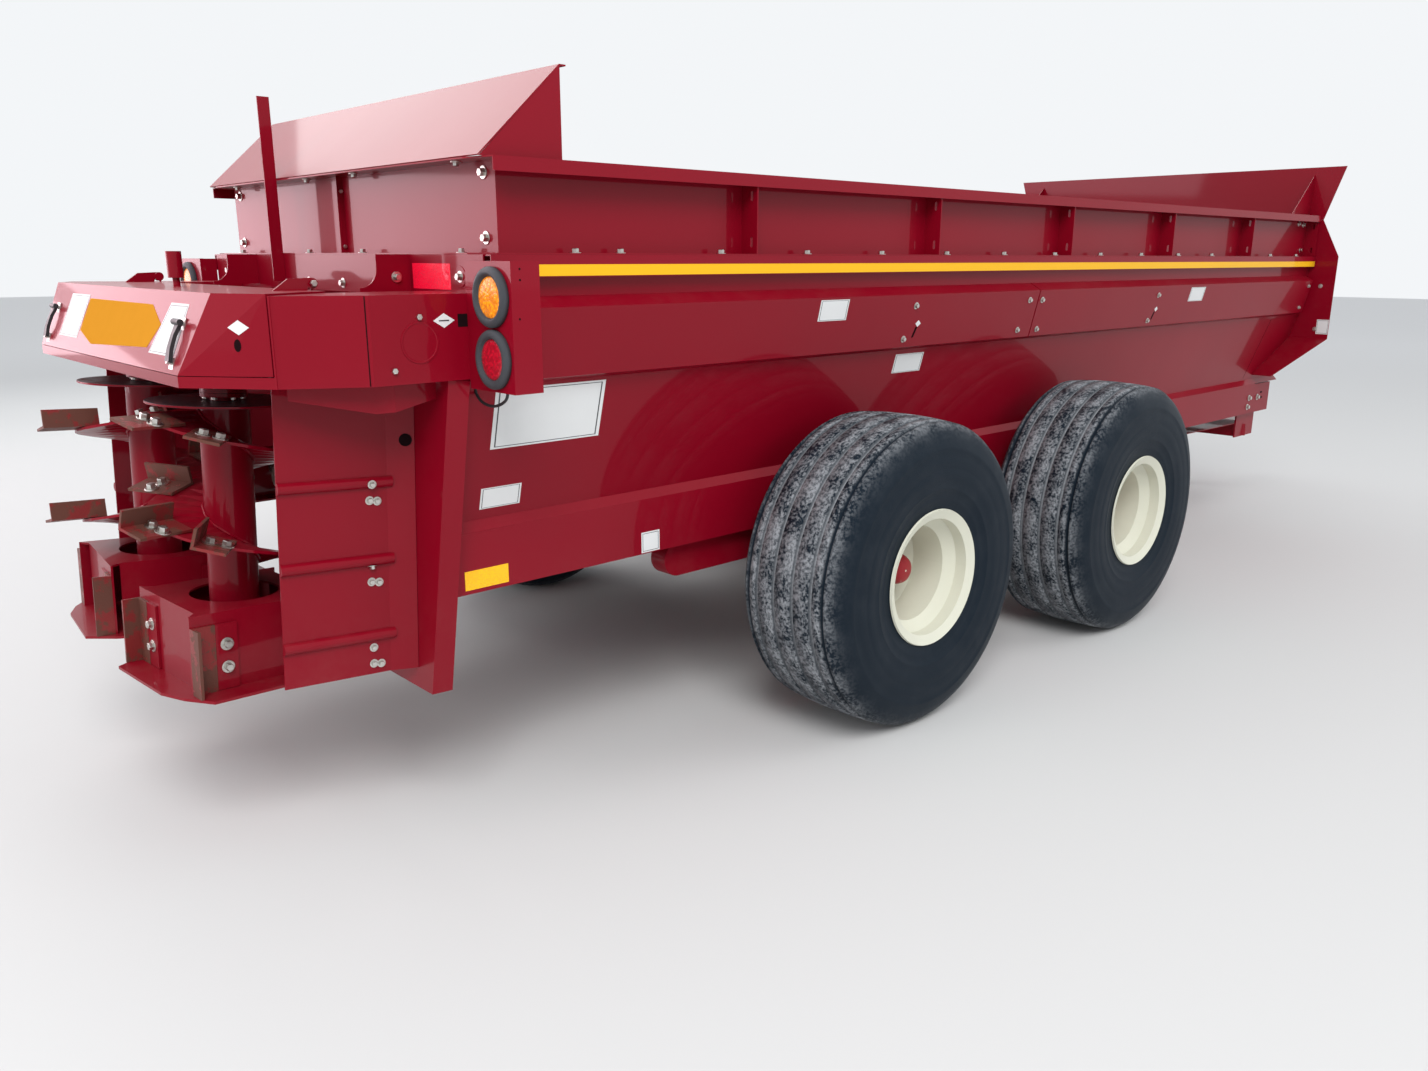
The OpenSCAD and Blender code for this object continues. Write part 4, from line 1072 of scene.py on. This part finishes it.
def leg_plates(shape, side):
    """The wide painted legs that carry the wear paddles along the expeller's walls."""
    for quarter in range(4):
        place = wall_frame(side, quarter)
        corners = [place @ Vector((LEG_X[i], LEG_GAP, LEG_Z[j])) for i, j in CORNERS]
        slab(shape, corners, LEG_T, place.to_3x3() @ Vector((0, 1, 0)))


def leg_bolts(shape, side):
    for quarter in range(4):
        place = wall_frame(side, quarter)
        out = place.to_3x3() @ Vector((0, 1, 0))
        for z in LEG_BOLT_Z:
            hex_bolt(shape, place @ Vector((LEG_BOLT_X, LEG_T + LEG_GAP, z)), out, 0.025)


def coupling_bolts(shape, side):
    """Heads under the lower flange, over the worn top disc."""
    place = beater_frame(side)
    down = place.to_3x3() @ Vector((0, 0, -1))
    for turn in turns(COUPLING_BOLTS, COUPLING_START):
        spot = place @ around(COUPLING_BOLT_R, turn, FLANGE_LOW)
        lathe(shape, COUPLING_LINE, facing(spot, down), 6, True)


def disc_wear(shape, side):
    """The worn upper and lower faces of the top disc."""
    place = beater_frame(side)
    foot = DISC_TOP - DISC_T
    outer = DISC_R - 0.001
    for low, high, inner in ((DISC_TOP, DISC_TOP + MARK_T, 0.046),
                             (foot - MARK_T, foot, TUBE_R + 0.001)):
        lathe(shape, [(low, inner), (low, outer), (high, outer), (high, inner), (low, inner)],
              place, 72)


def weld_beads(shape, side_name, side):
    """Weld beads along the flight's root and round the tube's foot."""
    place = beater_frame(side)
    for lift in (-WELD_OFF, FLIGHT_T + WELD_OFF):
        line = []
        for step in range(0, FLIGHT_N * 45 + 1, WELD_STEP):
            degrees = FLIGHT_A0[side_name] + step
            radius = TUBE_R + 0.002 + WELD_WAVE * math.sin(step * 0.9)
            line.append(place @ around(radius, math.radians(degrees),
                                       flight_height(side_name, degrees) + lift))
        rod(shape, line, WELD_R, 6)
    for up in (FLIGHT_T + WELD_OFF, DISC_TOP - DISC_T - WELD_OFF):
        lathe(shape, [(up - 0.006, TUBE_R - 0.001), (up, TUBE_R + 0.006),
                      (up + 0.006, TUBE_R - 0.001)], place, 48)


for side_name, side in SIDES:
    body = "beater_" + side_name
    piece("paddle_bolts_" + side_name, zinc, body, paddle_bolts, side_name, side)
    piece("expeller_legs_" + side_name, red_paint, body, leg_plates, side)
    piece("expeller_bolts_" + side_name, zinc, body, leg_bolts, side)
    piece("coupling_bolts_" + side_name, zinc, body, coupling_bolts, side)
    piece("top_disc_wear_" + side_name, disc_steel, body, disc_wear, side)
    piece("flight_welds_" + side_name, red_paint, body, weld_beads, side_name, side)


# Packing strips between the frame and the tub's foot, behind the floor deck
PACKING_X = (-0.150, 0.1255)
PACKING_Y = (0.980, 1.0598)
PACKING_T = 0.0055
PACKING_GAP = 0.0002
for side_name, side in SIDES:
    low = [on_side(side, (PACKING_X[i], PACKING_Y[j], DECK_Z - PACKING_T - PACKING_GAP))
           for i, j in CORNERS]
    piece("foot_packing_" + side_name, red_paint, "chassis", slab, low, PACKING_T, (0, 0, 1))


# Crank on top of the jack, whose bars are given from the jack's top
JACK_TOP = at(8.095, 0.132, 1.000)
CRANK_L = 0.142
CRANK_LINES = (
    # y and z of one end, y and z of the other, radius, sides
    ((0, -0.010), (0, 0.050), 0.016, 16),
    ((0, 0.040), (CRANK_L + 0.008, 0.040), 0.009, 12),
    ((CRANK_L, 0.032), (CRANK_L, 0.140), 0.009, 12),
)
GRIP_LINE = ((0, 0.012), (0.008, 0.016), (0.085, 0.015), (0.095, 0.010))
GRIP_UP = 0.045


def jack_crank(shape):
    """A stub on the jack, the arm across it and the pin of the grip."""
    for low, high, radius, sides in CRANK_LINES:
        rod(shape, [JACK_TOP + Vector((0, *end)) for end in (low, high)], radius, sides)


piece("jack_crank", zinc, "chassis", jack_crank)
piece("jack_crank_grip", black_plastic, "chassis", lathe, GRIP_LINE,
      Matrix.Translation(JACK_TOP + Vector((0, CRANK_L, GRIP_UP))), 24, True, smooth=True)


# Floor, light and background
WHITE = (1.0, 1.0, 1.0)
ROSE = (1.0, 0.74, 0.81)
LIGHTS = (
    # name, place, aim, width, height, watts, colour, shown only in gloss
    ("key", (-9, -9, 11), (-1, 0, 1), 7.0, 7.0, 1500, WHITE, False),
    ("fill", (9, -10, 8), (0, 0, 1), 8.0, 8.0, 500, WHITE, False),
    ("back", (0, 11, 9), (0, 0, 1), 8.0, 8.0, 500, WHITE, False),
    ("rear", (-14, 2, 6), (-3.9, 0, 1.5), 6.0, 6.0, 360, WHITE, False),
    ("low rear card", (-8.4, 8.2, 2.0), (-3.9, 0, 2.0), 9.0, 2.0, 280, ROSE, True),
    ("rear card", (-8.4, 8.2, 6.0), (-3.9, 0, 2.5), 9.0, 5.6, 640, ROSE, True),
    ("high card", (-3.6, 12, 12.5), (-3.6, 0, 2.4), 10.0, 10.0, 940, WHITE, True),
    ("front card", (8, 5, 12), (-1, -1, 1.9), 10.0, 10.0, 1200, WHITE, True),
)
SOFT_LIGHT = (0.93, 0.96, 1.0, 1)
SOFT_STRENGTH = 0.62
BACKGROUND = (0.90, 0.92, 0.94, 1)
FLOOR_HALF = 60
# The floor's colour near the machine is darker as painted shade; far off it is paler
FLOOR_SHADED_NEAR = (0.66, 0.66, 0.655)
FLOOR_FAR = (0.93, 0.93, 0.93)


def light_card(name, place, aim, width, height, watts, colour, only_gloss):
    """A rectangular light that either lights the scene or is only mirrored in gloss."""
    data = bpy.data.lights.new(name, "AREA")
    data.shape = "RECTANGLE"
    data.size = width
    data.size_y = height
    data.energy = watts
    data.color = colour
    lamp = bpy.data.objects.new(name, data)
    lamp.location = place
    lamp.rotation_euler = (Vector(aim) - Vector(place)).to_track_quat("-Z", "Y").to_euler()
    lamp.visible_diffuse = not only_gloss
    lamp.visible_glossy = only_gloss
    scene.collection.objects.link(lamp)


def pale_world():
    """Soft light from all round, and a pale background where the camera or gloss sees it."""
    world = bpy.data.worlds.new("studio")
    scene.world = world
    world.use_nodes = True
    tree = world.node_tree
    light = tree.nodes["Background"]
    dress(tree, light, Color=SOFT_LIGHT, Strength=SOFT_STRENGTH)
    shown = node(tree, "Background", {"Color": BACKGROUND, "Strength": 1.0})
    path = node(tree, "LightPath").outputs
    seen = math_node(tree, "MAXIMUM", path["Is Camera Ray"], path["Is Glossy Ray"])
    seen = math_node(tree, "MAXIMUM", seen, path["Is Transmission Ray"])
    both = node(tree, "MixShader", {0: seen, 1: light.outputs[0], 2: shown.outputs[0]})
    feed(tree, tree.nodes["World Output"].inputs[0], both.outputs[0])


def pale_floor():
    """A wide floor with painted shade: darker near the machine, and paler away from it."""
    material, tree, shader = finish("pale floor", FLOOR_SHADED_NEAR, 0.9)
    place = node(tree, "TexCoord").outputs["Object"]
    away = node(tree, "VectorMath", {0: place}, operation="LENGTH").outputs["Value"]
    shade = blend_colours(tree, ramp(tree, away, 6.0, 26.0), (*FLOOR_SHADED_NEAR, 1), (*FLOOR_FAR, 1))
    dress(tree, shader, Base_Color=shade)
    shape = bmesh.new()
    bmesh.ops.create_grid(shape, x_segments=1, y_segments=1, size=FLOOR_HALF)
    floor = new_object("floor", shape, material)


pale_floor()
pale_world()
for card in LIGHTS:
    light_card(*card)
scene.view_settings.view_transform = "Standard"
